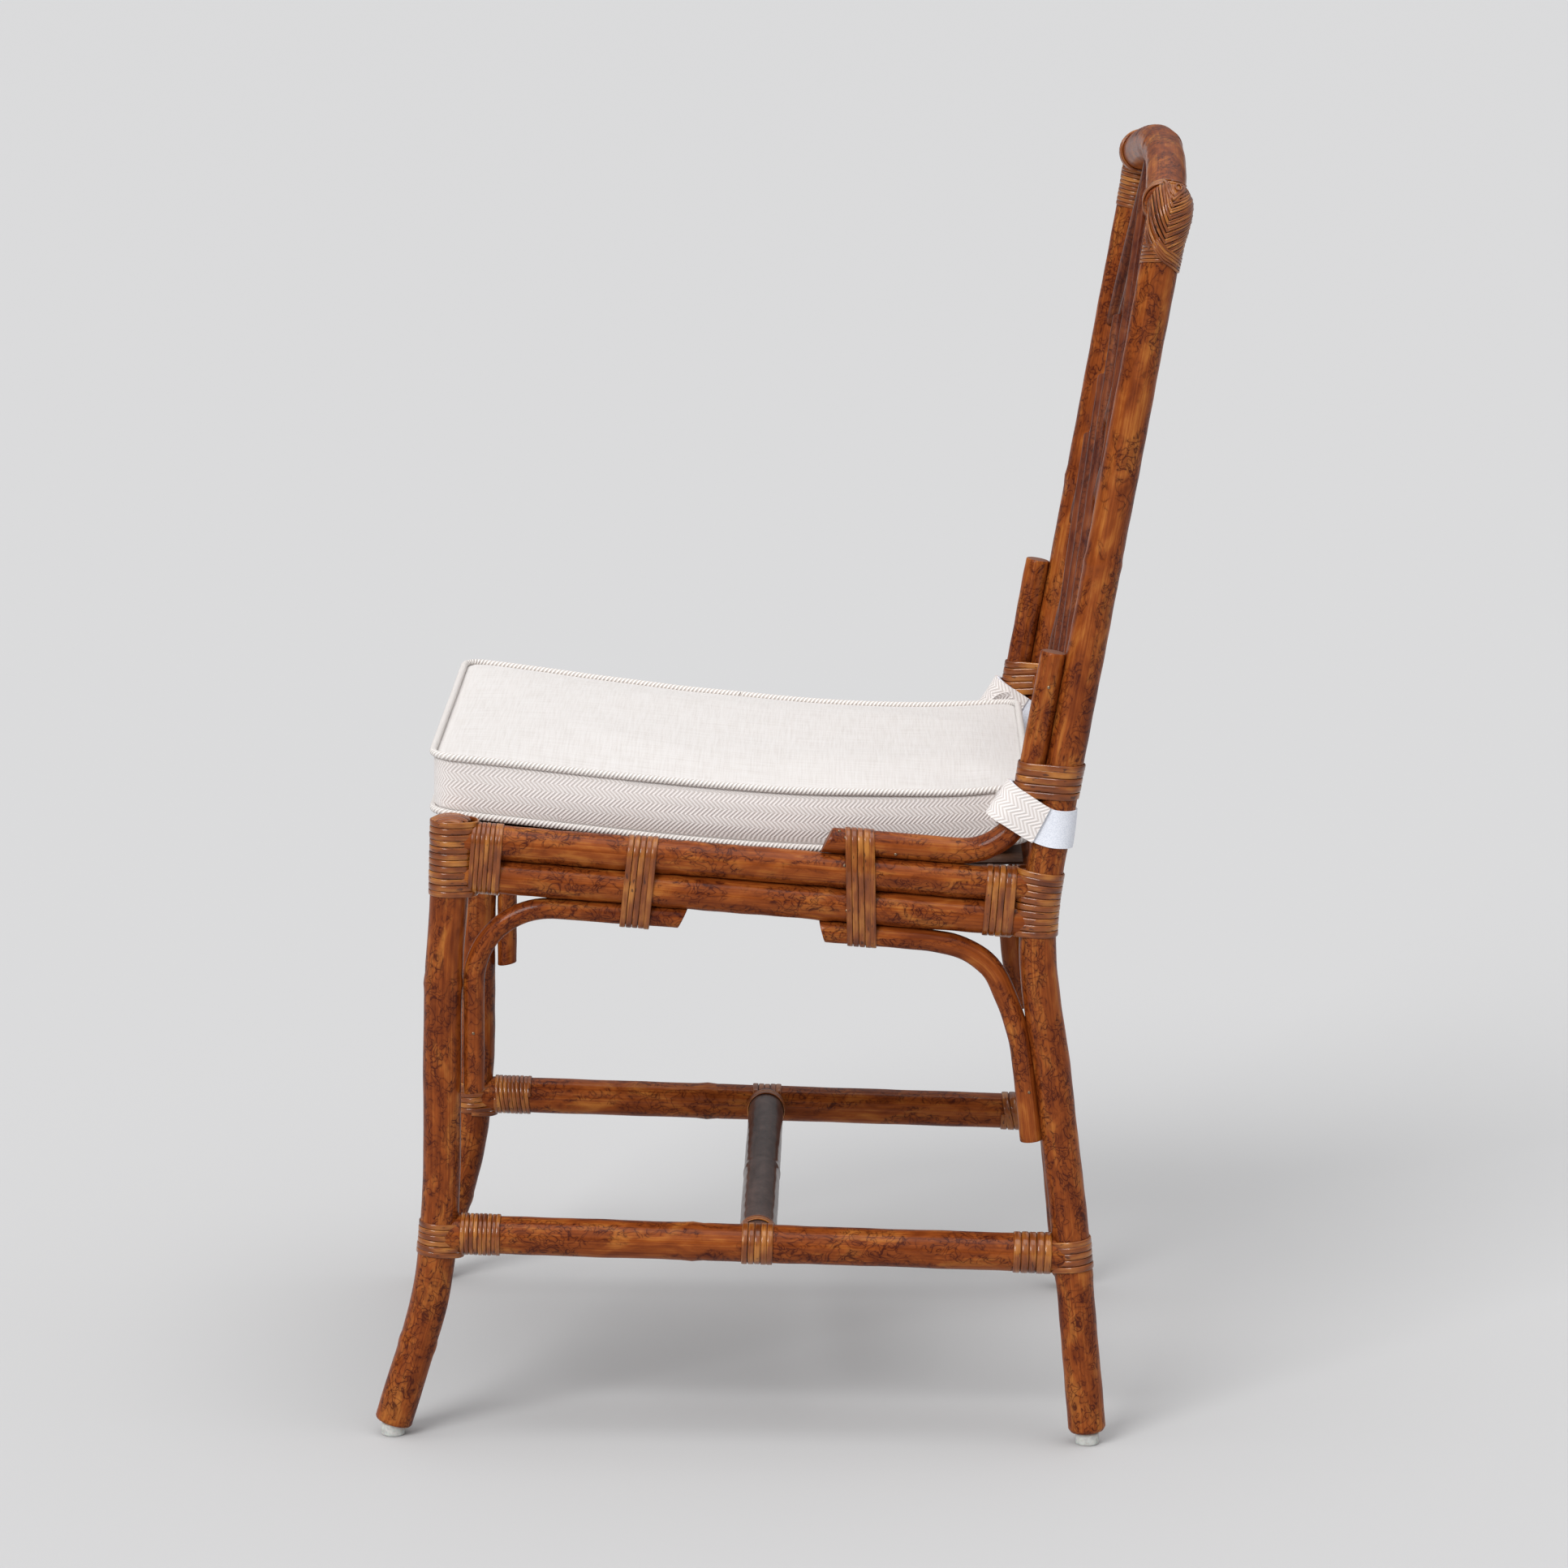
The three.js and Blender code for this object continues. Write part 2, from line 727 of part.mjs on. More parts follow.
function frontCornerBinding(sign) {
  const top = frontLegRoute.distanceAtHeight(frontLegTop) - strandWidth / 2;
  return cornerBinding({
    face: acrossX.clone().multiplyScalar(sign),
    first: { route: frontLegRoute, start: top, way: -1, radius: legRadius, length: cornerWrapOnLeg },
    second: {
      centre: railAt(railStart.y, railStack / 2),
      heading: railHeading,
      sweep: railUp,
      radius: railRadius,
      reach: railStack,
      offset: legWrapOffset(legRadius),
      length: cornerWrapOnRails,
    },
  });
}

function rearCornerBinding(sign) {
  const middle = rearPoleRoute.distanceAtHeight(railAt(knee.y, railStack / 2).z);
  const centre = railAt(rearPoleAt(rearRailHeight).y, railStack / 2);
  return cornerBinding({
    face: acrossX.clone().multiplyScalar(sign),
    first: {
      route: rearPoleRoute,
      start: middle + turnsIn(rearWrapOnLeg) * strandPitch / 2,
      way: -1,
      radius: postRadius,
      length: rearWrapOnLeg,
    },
    second: {
      centre,
      heading: railHeading.clone().negate(),
      sweep: railUp,
      radius: railRadius,
      reach: railStack,
      offset: legWrapOffset(postRadius),
      length: cornerWrapOnRails,
    },
  });
}

function stretcherBinding(sign, front) {
  const route = front ? frontLegRoute : rearPoleRoute;
  const radius = front ? legRadius : postRadius;
  const centre = front ? stretcherStart : stretcherAt(rearPoleAt(stretcherHeight).y);
  const middle = route.distanceAtHeight(centre.z);
  const way = stretcherHeading.clone().multiplyScalar(front ? 1 : -1);
  return cornerBinding({
    face: acrossX.clone().multiplyScalar(sign),
    first: {
      route,
      start: middle + turnsIn(stretcherWrapOnLeg) * strandPitch / 2,
      way: -1,
      radius,
      length: stretcherWrapOnLeg,
    },
    second: {
      centre,
      heading: way,
      sweep: point(0, Math.sin(stretcherFall), Math.cos(stretcherFall)),
      radius: stretcherRadius,
      reach: 0,
      offset: legWrapOffset(radius),
      length: stretcherWrapOnRail,
    },
  });
}

function crossBinding(sign) {
  const turns = turnsIn(crossWrapOnSide);
  const from = stretcherAt(crossY - turns * strandPitch / 2 / Math.cos(stretcherFall));
  const route = new Route([from, stretcherAt(crossY + cutOverrun)]);
  return cornerBinding({
    face: point(0, Math.sin(stretcherFall), Math.cos(stretcherFall)),
    first: { route, start: 0, way: 1, radius: stretcherRadius, length: crossWrapOnSide },
    second: {
      centre: stretcherAt(crossY),
      heading: acrossX.clone().multiplyScalar(-sign),
      sweep: stretcherHeading.clone().negate(),
      radius: crossRadius,
      reach: 0,
      offset: legWrapOffset(stretcherRadius),
      length: crossWrapOnBar,
    },
  });
}

function crestBinding(sign) {
  const inward = acrossX.clone().multiplyScalar(-sign);
  const stations = crestRoute().stations.map((spot) => point((spot.x - crestHalf) * sign, spot.y, spot.z));
  const turns = turnsIn(crestWrapOnPost);
  const top = rearPoleRoute.runs[rearPoleRoute.runs.length - 1] - strandWidth / 2;
  const bottom = top - turns * strandPitch;
  return cornerBinding({
    face: backNormal,
    first: { route: rearPoleRoute, start: bottom, way: 1, radius: postRadius, length: crestWrapOnPost },
    second: {
      route: new Route(stations.reverse()),
      heading: inward,
      sweep: upBack.clone().negate(),
      radius: crestRadius,
      reach: 0,
      offset: legWrapOffset(postRadius),
      length: crestWrapOnRail,
    },
  });
}

function railBinding(sign, y, above, below) {
  const top = railStack + (above ? fitClearance + 2 * backBraceRadius : 0);
  const bottom = -(fitClearance + 2 * below);
  return singleBinding({
    centre: railAt(y, (top + bottom) / 2),
    heading: railHeading,
    face: acrossX.clone().multiplyScalar(sign),
    sweep: railUp,
    radius: railRadius,
    reach: top - bottom,
    length: railWrapLength,
  });
}

function postBinding(sign) {
  const reach = 2 * backBraceRadius + fitClearance;
  return singleBinding({
    centre: moved(backAt(0, postWrapRise), backNormal, -reach / 2),
    heading: upBack,
    face: acrossX.clone().multiplyScalar(sign),
    sweep: backNormal,
    radius: postRadius,
    reach,
    length: postWrapLength,
  });
}

// Cushion: a boxed pad with welted edges, a crowned top and sides drawn in between the corners
const cushionShareAt = (y) => (y - cushionFrontY) / (cushionRearY - cushionFrontY);
const dipped = (front, rear, dip, share) => front + (rear - front) * share - 4 * dip * share * (1 - share);
const cushionBaseAt = (y) => dipped(cushionFrontBase, cushionRearBase, cushionBaseDip, cushionShareAt(y));
const cushionRimAt = (y) => dipped(cushionFrontRim, cushionRearRim, cushionRimDip, cushionShareAt(y));
const cushionLevelShares = [
  { inset: 0.62, height: 0, crown: 0, welt: 0 },
  { inset: 0.3, height: 0, crown: 0, welt: 0 },
  { inset: 0.02, height: 0, crown: 0, welt: 0 },
  { inset: 0, height: 0.03, crown: 0, welt: 1 },
  { inset: 0, height: 0.14, crown: 0, welt: 0 },
  { inset: 0, height: 0.5, crown: 0, welt: 0.5 },
  { inset: 0, height: 0.86, crown: 0, welt: 0 },
  { inset: 0, height: 0.97, crown: 0, welt: 1 },
  { inset: 0.02, height: 1, crown: 0, welt: 0 },
  { inset: 0.12, height: 1, crown: 0.5, welt: 0 },
  { inset: 0.35, height: 1, crown: 0.85, welt: 0 },
  { inset: 0.65, height: 1, crown: 1, welt: 0 },
];

const cushionMiddle = (cushionFrontY + cushionRearY) / 2;
const cushionHalfLength = (cushionRearY - cushionFrontY) / 2;
const cushionHalfWidth = (cushionFrontHalf + cushionRearHalf) / 2;

// The rounded rectangle a cushion is cut to, as places on it from the middle of the pad
function cushionOutline() {
  const corners = [[1, -1], [1, 1], [-1, 1], [-1, -1]];
  const round = corners.map(([sx, sy], i) => {
    const centre = new THREE.Vector2(
      sx * (cushionHalfWidth - cushionCornerRadius),
      sy * (cushionHalfLength - cushionCornerRadius),
    );
    return Array.from({ length: cushionCornerPoints }, (_, k) => {
      const angle = Math.PI / 2 * (i - 1 + k / (cushionCornerPoints - 1));
      const spoke = new THREE.Vector2(Math.cos(angle), Math.sin(angle)).multiplyScalar(cushionCornerRadius);
      return centre.clone().add(spoke);
    });
  });
  return round.flatMap((arc, i) => {
    const [from, to] = [arc[arc.length - 1], round[(i + 1) % round.length][0]];
    const straight = Array.from(
      { length: cushionSidePoints },
      (_, k) => from.clone().lerp(to, (k + 1) / (cushionSidePoints + 1)),
    );
    return [...arc, ...straight];
  });
}

function cushionPoint(spot, { inset, height, crown, welt }) {
  const across = spot.x / cushionHalfWidth;
  const along = spot.y / cushionHalfLength;
  const edge = (1 - welt) * cushionWelt;
  const shrunkLength = 1 - (edge + cushionDrawIn * (1 - across ** 2)) / cushionHalfLength;
  const y = cushionMiddle + spot.y * shrunkLength * (1 - inset);
  const half = cushionFrontHalf + (cushionRearHalf - cushionFrontHalf) * cushionShareAt(y);
  const x = across * (half - edge - cushionDrawIn * (1 - along ** 2)) * (1 - inset);
  const base = cushionBaseAt(y);
  return point(x, y, base + (cushionRimAt(y) - base) * height + cushionCrown * crown);
}

function cushion() {
  const places = [];
  const index = [];
  const outline = cushionOutline();
  const count = outline.length;
  for (const level of cushionLevelShares) {
    for (const spot of outline) {
      places.push(...cushionPoint(spot, level).toArray());
    }
  }
  const bottom = places.length / 3;
  places.push(0, cushionMiddle, cushionBaseAt(cushionMiddle));
  places.push(0, cushionMiddle, cushionRimAt(cushionMiddle) + cushionCrown);
  for (let i = 0; i < count; i += 1) {
    const next = (i + 1) % count;
    for (let level = 0; level < cushionLevelShares.length - 1; level += 1) {
      const [low, high] = [level * count, (level + 1) * count];
      index.push(low + i, low + next, high + next, low + i, high + next, high + i);
    }
    const rim = (cushionLevelShares.length - 1) * count;
    index.push(bottom, next, i, bottom + 1, rim + i, rim + next);
  }
  const geometry = new THREE.BufferGeometry();
  geometry.setAttribute('position', new THREE.Float32BufferAttribute(places, 3));
  geometry.setIndex(index);
  return closed(geometry);
}

// Seat panel: a sagging sheet of close-laid core between the front and rear rails
function seatPanel() {
  const front = frontRailCentre(railStack).y;
  const rear = rearRailCentre(railStack).y;
  const outline = [];
  for (let i = 0; i <= panelSteps; i += 1) {
    const y = front + (rear - front) * i / panelSteps;
    outline.push(new THREE.Vector2(y, cushionBaseAt(y) - fitClearance));
  }
  const under = outline.map((spot) => new THREE.Vector2(spot.x, spot.y - panelThickness)).reverse();
  const shape = new THREE.Shape([...outline, ...under]);
  const sheet = new THREE.ExtrudeGeometry(shape, { depth: 2 * panelHalfWidth, bevelEnabled: false });
  sheet.translate(0, 0, -panelHalfWidth);
  const turn = new THREE.Matrix4().makeBasis(point(0, 1, 0), point(0, 0, 1), point(1, 0, 0));
  sheet.applyMatrix4(turn);
  const rails = [frontRailCentre(railStack), rearRailCentre(railStack)].map((centre) => {
    const route = new Route([point(-sideX, centre.y, centre.z), point(sideX, centre.y, centre.z)]);
    return pole(route, railRadius + fitClearance);
  });
  return cutBy(sheet, rails);
}

// Strap: a slanting flat loop round the post and the back brace, with a tail inwards to the cushion's corner
function strap(sign) {
  const slant = lean - radians(strapSlopeDegrees);
  const inner = postRadius / Math.cos(slant) + 2 * fitClearance;
  const outer = inner + strapThickness;
  const reach = (postRadius + 2 * backBraceRadius) / Math.cos(slant) + strapFrontSlack - inner;
  const loop = (radius) => {
    const shape = new THREE.Shape();
    shape.absarc(-reach, 0, radius, Math.PI / 2, 3 * Math.PI / 2, false);
    shape.absarc(0, 0, radius, -Math.PI / 2, Math.PI / 2, false);
    shape.closePath();
    return shape;
  };
  const outline = loop(outer);
  outline.holes.push(new THREE.Path(loop(inner).getPoints(strapBendSteps)));
  const settings = { depth: strapWidth, bevelEnabled: false, curveSegments: strapBendSteps };
  const band = new THREE.ExtrudeGeometry(outline, settings);
  band.translate(0, 0, -strapWidth / 2);
  const tail = new THREE.BoxGeometry(strapThickness, strapTail, strapWidth);
  tail.translate(-reach, -(inner + fitClearance + strapTail / 2) * sign, 0);
  const body = joined(band, tail);
  const slope = radians(strapSlopeDegrees);
  const along = point(0, Math.cos(slope), -Math.sin(slope));
  body.applyMatrix4(new THREE.Matrix4().makeBasis(along, acrossX, upBack.clone().negate()));
  const centre = backAt(0, strapRise);
  return closed(body.translate(centre.x, centre.y, centre.z));
}

// Finishes
const finish = (color, roughness) => new THREE.MeshStandardMaterial({ color, roughness, metalness: 0 });
const lacqueredRattan = () => finish(0x8a4519, 0.32);
const darkRattan = () => finish(0x4a3434, 0.36);
const peel = () => finish(0xa65e28, 0.35);
const core = () => finish(0xb07a45, 0.6);
const nylon = () => finish(0xd8d8d4, 0.4);
const twill = () => finish(0xf0ece4, 0.9);

function part(name, geometry, material) {
  const piece = new THREE.Mesh(closed(geometry), material);
  piece.name = name;
  return piece;
}

function strand(name, samples) {
  console.log(`${name}: least gap between turns ${leastGap(samples).toFixed(2)} mm`);
  return part(name, strandGeometry(samples), peel());
}

// Assembly
function sideFrame({ name, sign }) {
  const group = new THREE.Group();
  group.position.x = sign * sideX;
  group.add(
    part(`front_leg_${name}`, frontLeg(), lacqueredRattan()),
    part(`rear_post_${name}`, rearPole(), lacqueredRattan()),
    part(`side_rail_lower_${name}`, sideRail(0), lacqueredRattan()),
    part(`side_rail_upper_${name}`, sideRail(railStack), lacqueredRattan()),
    part(`side_stretcher_${name}`, sideStretcher(), lacqueredRattan()),
    part(
      `front_brace_${name}`,
      brace(frontBraceRoute(), frontBraceRadius, true, -radians(braceEndBevelDegrees)),
      lacqueredRattan(),
    ),
    part(
      `rear_brace_${name}`,
      brace(rearBraceRoute(), rearBraceRadius, true, radians(braceEndBevelDegrees)),
      lacqueredRattan(),
    ),
    part(
      `back_brace_${name}`,
      brace(backBraceRoute(), backBraceRadius, false, -radians(braceEndBevelDegrees)),
      lacqueredRattan(),
    ),
    strand(`front_corner_binding_${name}`, frontCornerBinding(sign)),
    strand(`rear_corner_binding_${name}`, rearCornerBinding(sign)),
    strand(`front_rail_binding_${name}`, railBinding(sign, frontRailWrapY, false, frontBraceRadius)),
    strand(`rear_rail_binding_${name}`, railBinding(sign, rearRailWrapY, true, rearBraceRadius)),
    strand(`post_binding_${name}`, postBinding(sign)),
    strand(`crest_binding_${name}`, crestBinding(sign)),
    strand(`front_stretcher_binding_${name}`, stretcherBinding(sign, true)),
    strand(`rear_stretcher_binding_${name}`, stretcherBinding(sign, false)),
    strand(`cross_stretcher_binding_${name}`, crossBinding(sign)),
    part(`strap_${name}`, strap(sign), twill()),
  );
  for (const [place, foot] of [['front', frontLegRoute.stations[0]], ['rear', rearFoot]]) {
    const pad = part(`glide_${place}_${name}`, glide(), nylon());
    pad.position.set(0, foot.y, 0);
    group.add(pad);
  }
  return group;
}

function seatFrame() {
  const group = new THREE.Group();
  for (const [level, rise] of [['lower', 0], ['upper', railStack]]) {
    const front = crossRail(frontRailCentre(rise), rise, boundLeg());
    const rear = crossRail(rearRailCentre(rise), rise, boundPost());
    group.add(part(`front_rail_${level}`, front, lacqueredRattan()));
    group.add(part(`rear_rail_${level}`, rear, lacqueredRattan()));
  }
  group.add(part('cross_stretcher', crossStretcher(), darkRattan()));
  group.add(part('seat_panel', seatPanel(), core()));
  return group;
}

function chairBack() {
  const group = new THREE.Group();
  group.add(part('crest_rail', crestRail(), lacqueredRattan()));
  group.add(part('lower_back_rail', lowerBackRail(), lacqueredRattan()));
  for (const { name, geometry } of latticeParts()) {
    group.add(part(name, geometry, lacqueredRattan()));
  }
  return group;
}

const chair = new THREE.Group();
chair.add(...sides.map(sideFrame), seatFrame(), chairBack(), part('cushion', cushion(), twill()));
chair.position.y = standShift;

export default chair;
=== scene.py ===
"""Rattan dining chair: smooth bent poles, peel bindings, a lattice back and a boxed seat cushion.

Sizes are millimetres until a mesh is laid in its place, where it becomes metres. The chair faces -Y, its left
side is +X, and the origin is on the floor under its middle.
"""

import json
import logging
import math
from dataclasses import dataclass
from enum import Enum
from typing import Any, Callable, Iterable, Optional, Sequence

import bpy
import numpy as np
from mathutils import Matrix, Vector, geometry

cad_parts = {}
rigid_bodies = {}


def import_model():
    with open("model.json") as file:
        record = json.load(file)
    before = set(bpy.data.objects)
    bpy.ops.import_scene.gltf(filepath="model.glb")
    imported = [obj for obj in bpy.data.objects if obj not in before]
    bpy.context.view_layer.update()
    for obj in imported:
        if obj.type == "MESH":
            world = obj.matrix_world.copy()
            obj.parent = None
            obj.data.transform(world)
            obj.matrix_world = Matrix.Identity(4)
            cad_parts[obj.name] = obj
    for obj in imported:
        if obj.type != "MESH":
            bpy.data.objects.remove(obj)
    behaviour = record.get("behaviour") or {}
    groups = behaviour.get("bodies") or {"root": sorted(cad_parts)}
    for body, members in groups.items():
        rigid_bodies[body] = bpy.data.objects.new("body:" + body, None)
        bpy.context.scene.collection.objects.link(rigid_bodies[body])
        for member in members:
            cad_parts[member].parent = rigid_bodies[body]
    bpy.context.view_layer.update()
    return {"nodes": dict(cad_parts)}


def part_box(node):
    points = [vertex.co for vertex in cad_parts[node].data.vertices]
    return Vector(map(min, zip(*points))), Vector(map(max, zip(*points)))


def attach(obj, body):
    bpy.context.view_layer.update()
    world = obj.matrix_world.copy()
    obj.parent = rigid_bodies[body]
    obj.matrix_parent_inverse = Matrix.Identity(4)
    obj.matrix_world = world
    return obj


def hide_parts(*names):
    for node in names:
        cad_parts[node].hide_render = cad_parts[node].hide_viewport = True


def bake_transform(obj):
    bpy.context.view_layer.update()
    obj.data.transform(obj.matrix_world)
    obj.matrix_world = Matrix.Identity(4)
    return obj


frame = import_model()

log = logging.getLogger("rattan_chair")

MM = 0.001
X = np.array((1.0, 0.0, 0.0))
Y = np.array((0.0, 1.0, 0.0))
Z = np.array((0.0, 0.0, 1.0))
SIDE_X = 209.0
SIDES = {"left": 1, "right": -1}
LEAN_SLOPE = 0.1673
LEAN = math.atan(LEAN_SLOPE)
RAIL_SLOPE = -0.0709
RAIL_RISE = 24.5
RAIL_LINE = (-232, 184)
STRETCHER_LINE = (-238, 214)
STRETCHER_SLOPE = -0.02045
CROSS_AT = (-11.5, 146)
BACK_FOOT_Y = 182.5
BACK_FOOT_Z = 378.5
KNEE_Y = 198.9
KNEE_Z = 476.5
SEAT_FRONT = -246.0
SEAT_DEPTH = 424.0


class Slot(Enum):
    """The record's material slots."""

    RATTAN = "rattan"
    DARK = "dark_rattan"
    PEEL = "cane_peel"
    CORE = "seat_core"
    GLIDE = "glide"
    COVER = "cushion_cover"
    STRAP = "strap_webbing"


class Tone(Enum):
    """How deeply a pole was stained before its lacquer: low, middle, high and vein colours in sRGB hex."""

    AMBER = ("#6a2e0f", "#8c4519", "#ae692d", "#380e08")
    CHESTNUT = ("#471a0d", "#6a3217", "#854a26", "#2a0a08")
    PLUM = ("#3d2924", "#54403a", "#6a524b", "#241412")


def linear(code: str) -> tuple[float, float, float, float]:
    """Turn an sRGB hex colour into the linear colour that shaders take.

    Args:
        code: The colour as "#rrggbb".

    Returns:
        Red, green, blue and an alpha of one.
    """
    parts = [int(code[i : i + 2], 16) / 255 for i in (1, 3, 5)]
    red, green, blue = (c / 12.92 if c <= 0.04045 else ((c + 0.055) / 1.055) ** 2.4 for c in parts)
    return red, green, blue, 1.0


def add(
    tree: bpy.types.NodeTree,
    kind: str,
    *inputs: Any,
    links: Optional[dict[Any, Any]] = None,
    stops: Sequence[tuple[float, str]] = (),
    **settings: Any,
) -> bpy.types.Node:
    """Add one node with its settings and what feeds it.

    Args:
        tree: The node tree that the node joins.
        kind: The node's type, without the leading "ShaderNode".
        inputs: A value, socket or node for each of its first inputs, in their order.
        links: The same for its other inputs, by name or number.
        stops: Places and colours, for a ramp.
        settings: Properties to set on the node.

    Returns:
        The new node.
    """
    node = tree.nodes.new("ShaderNode" + kind)
    for name, value in settings.items():
        setattr(node, name, value)
    if stops:
        while len(node.color_ramp.elements) < len(stops):
            node.color_ramp.elements.new(0.5)
        for element, (place, code) in zip(node.color_ramp.elements, stops):
            element.position = place
            element.color = linear(code)
    for name, value in {**dict(enumerate(inputs)), **(links or {})}.items():
        if isinstance(value, bpy.types.Node):
            value = value.outputs[0]
        if isinstance(value, bpy.types.NodeSocket):
            tree.links.new(value, node.inputs[name])
        else:
            node.inputs[name].default_value = value
    return node


@dataclass(frozen=True)
class Finish:
    """What every finish shares: a material that is made once and kept by its name."""

    name: str = "finish"

    def material(self) -> bpy.types.Material:
        """Return the finish's material, which is made the first time."""
        found = bpy.data.materials.get(self.name)
        if found:
            return found
        made = bpy.data.materials.new(self.name)
        made.use_nodes = True
        tree = made.node_tree
        tree.nodes.clear()
        shader = add(tree, "BsdfPrincipled", links=self.shade(tree))
        add(tree, "OutputMaterial", links={"Surface": shader})
        return made

    def shade(self, tree: bpy.types.NodeTree) -> dict[str, Any]:
        """Build the finish's nodes.

        Args:
            tree: The material's node tree.

        Returns:
            The shader's inputs.
        """
        return {}


@dataclass(frozen=True)
class LacqueredRattan(Finish):
    """Whole rattan pole, flame-mottled, stained and lacquered: amber skin, dark veins and a glossy coat."""

    name: str = "lacquered_rattan"
    tone: Tone = Tone.AMBER
    vein_amount: float = 1.0
    coat: float = 0.17

    def shade(self, tree: bpy.types.NodeTree) -> dict[str, Any]:
        """Build the mottled pole.

        Args:
            tree: The material's node tree.

        Returns:
            The shader's inputs.
        """
        low, middle, high, vein = self.tone.value
        cane = add(tree, "Attribute", attribute_name="cane").outputs["Vector"]
        # Clouds of stain some 40 mm long and 16 mm wide
        clouds_at = add(tree, "VectorMath", cane, (25, 60, 60), operation="MULTIPLY")
        clouds = add(
            tree, "TexNoise", links={"Vector": clouds_at, "Scale": 1.0, "Detail": 5.0, "Distortion": 0.9}
        )
        # Vessels run the cane's whole length, 0.5 mm apart on the real one and 1.1 mm here so that they show
        fibre_at = add(tree, "VectorMath", cane, (9, 900, 900), operation="MULTIPLY")
        fibre = add(tree, "TexNoise", links={"Vector": fibre_at, "Scale": 1.0, "Detail": 2.0})
        # Flames of grain some 14 mm long and 4 mm wide lie between the two
        flame_at = add(tree, "VectorMath", cane, (70, 260, 260), operation="MULTIPLY")
        flame = add(
            tree, "TexNoise", links={"Vector": flame_at, "Scale": 1.0, "Detail": 3.0, "Distortion": 0.5}
        )
        fine = add(tree, "Math", flame, 0.3, clouds, operation="MULTIPLY_ADD")
        stain = add(tree, "Math", fibre, 0.5, fine, operation="MULTIPLY_ADD")
        even = add(tree, "Math", stain, 0.555, operation="MULTIPLY")
        base = add(tree, "ValToRGB", even, stops=((0.37, low), (0.51, middle), (0.65, high)))
        # Scorch marks lie in chains some 70 mm long on one face of the cane
        chain_at = add(tree, "VectorMath", cane, (15, 44, 44), operation="MULTIPLY")
        chain = add(
            tree, "TexNoise", links={"Vector": chain_at, "Scale": 1.0, "Detail": 3.0, "Distortion": 1.2}
        )
        where = add(tree, "MapRange", chain, 0.4, 0.52, interpolation_type="SMOOTHSTEP")
        # In a chain, hair lines about 1 mm wide curl round cells 10 mm across, each with a smoky edge
        curl_at = add(tree, "VectorMath", cane, (84, 104, 104), operation="MULTIPLY")
        amount: Any = 0.0
        for shift, line, smoke in ((0.0, 0.037, 0.14), (31.7, 0.027, 0.09)):
            at = add(tree, "VectorMath", curl_at, (shift, shift, 0), operation="ADD")
            curl = add(tree, "TexNoise", links={"Vector": at, "Scale": 1.0, "Detail": 1.8, "Distortion": 1.0})
            off = add(tree, "Math", curl, 0.5, operation="SUBTRACT")
            far = add(tree, "Math", off, operation="ABSOLUTE")
            for reach, depth in ((line, 0.88), (smoke, 0.36)):
                mark = add(tree, "MapRange", far, 0.0, reach, depth, 0.0, interpolation_type="SMOOTHSTEP")
                amount = add(tree, "Math", amount, mark, operation="MAXIMUM")
        held = add(tree, "Math", amount, where, operation="MULTIPLY")
        faint = add(tree, "Math", held, self.vein_amount, operation="MULTIPLY")
        veined = add(tree, "Mix", links={0: faint, 6: base, 7: linear(vein)}, data_type="RGBA")
        return {
            "Base Color": veined.outputs[2],
            "Roughness": add(tree, "MapRange", fibre, 0.0, 1.0, 0.3, 0.5),
            "Normal": add(tree, "Bump", links={"Height": fibre, "Strength": 0.2, "Distance": 0.0004}),
            "IOR": 1.5,
            "Specular IOR Level": 0.07,
            "Coat Weight": self.coat,
            "Coat Roughness": 0.08,
        }


@dataclass(frozen=True)
class CutCane(Finish):
    """Sawn end of a pole, stained through the lacquer: dull brown, with the dark dots of its vessels."""

    name: str = "cut_cane"

    def shade(self, tree: bpy.types.NodeTree) -> dict[str, Any]:
        """Build the sawn end.

        Args:
            tree: The material's node tree.

        Returns:
            The shader's inputs.
        """
        place = add(tree, "TexCoord").outputs["Object"]
        # Vessels are 0.9 mm apart on the cut
        pores = add(tree, "TexVoronoi", links={"Vector": place, "Scale": 1100.0})
        wood = add(tree, "ValToRGB", pores, stops=((0.12, "#3a1f16"), (0.34, "#7a4c35")))
        return {"Base Color": wood, "Roughness": 0.62}


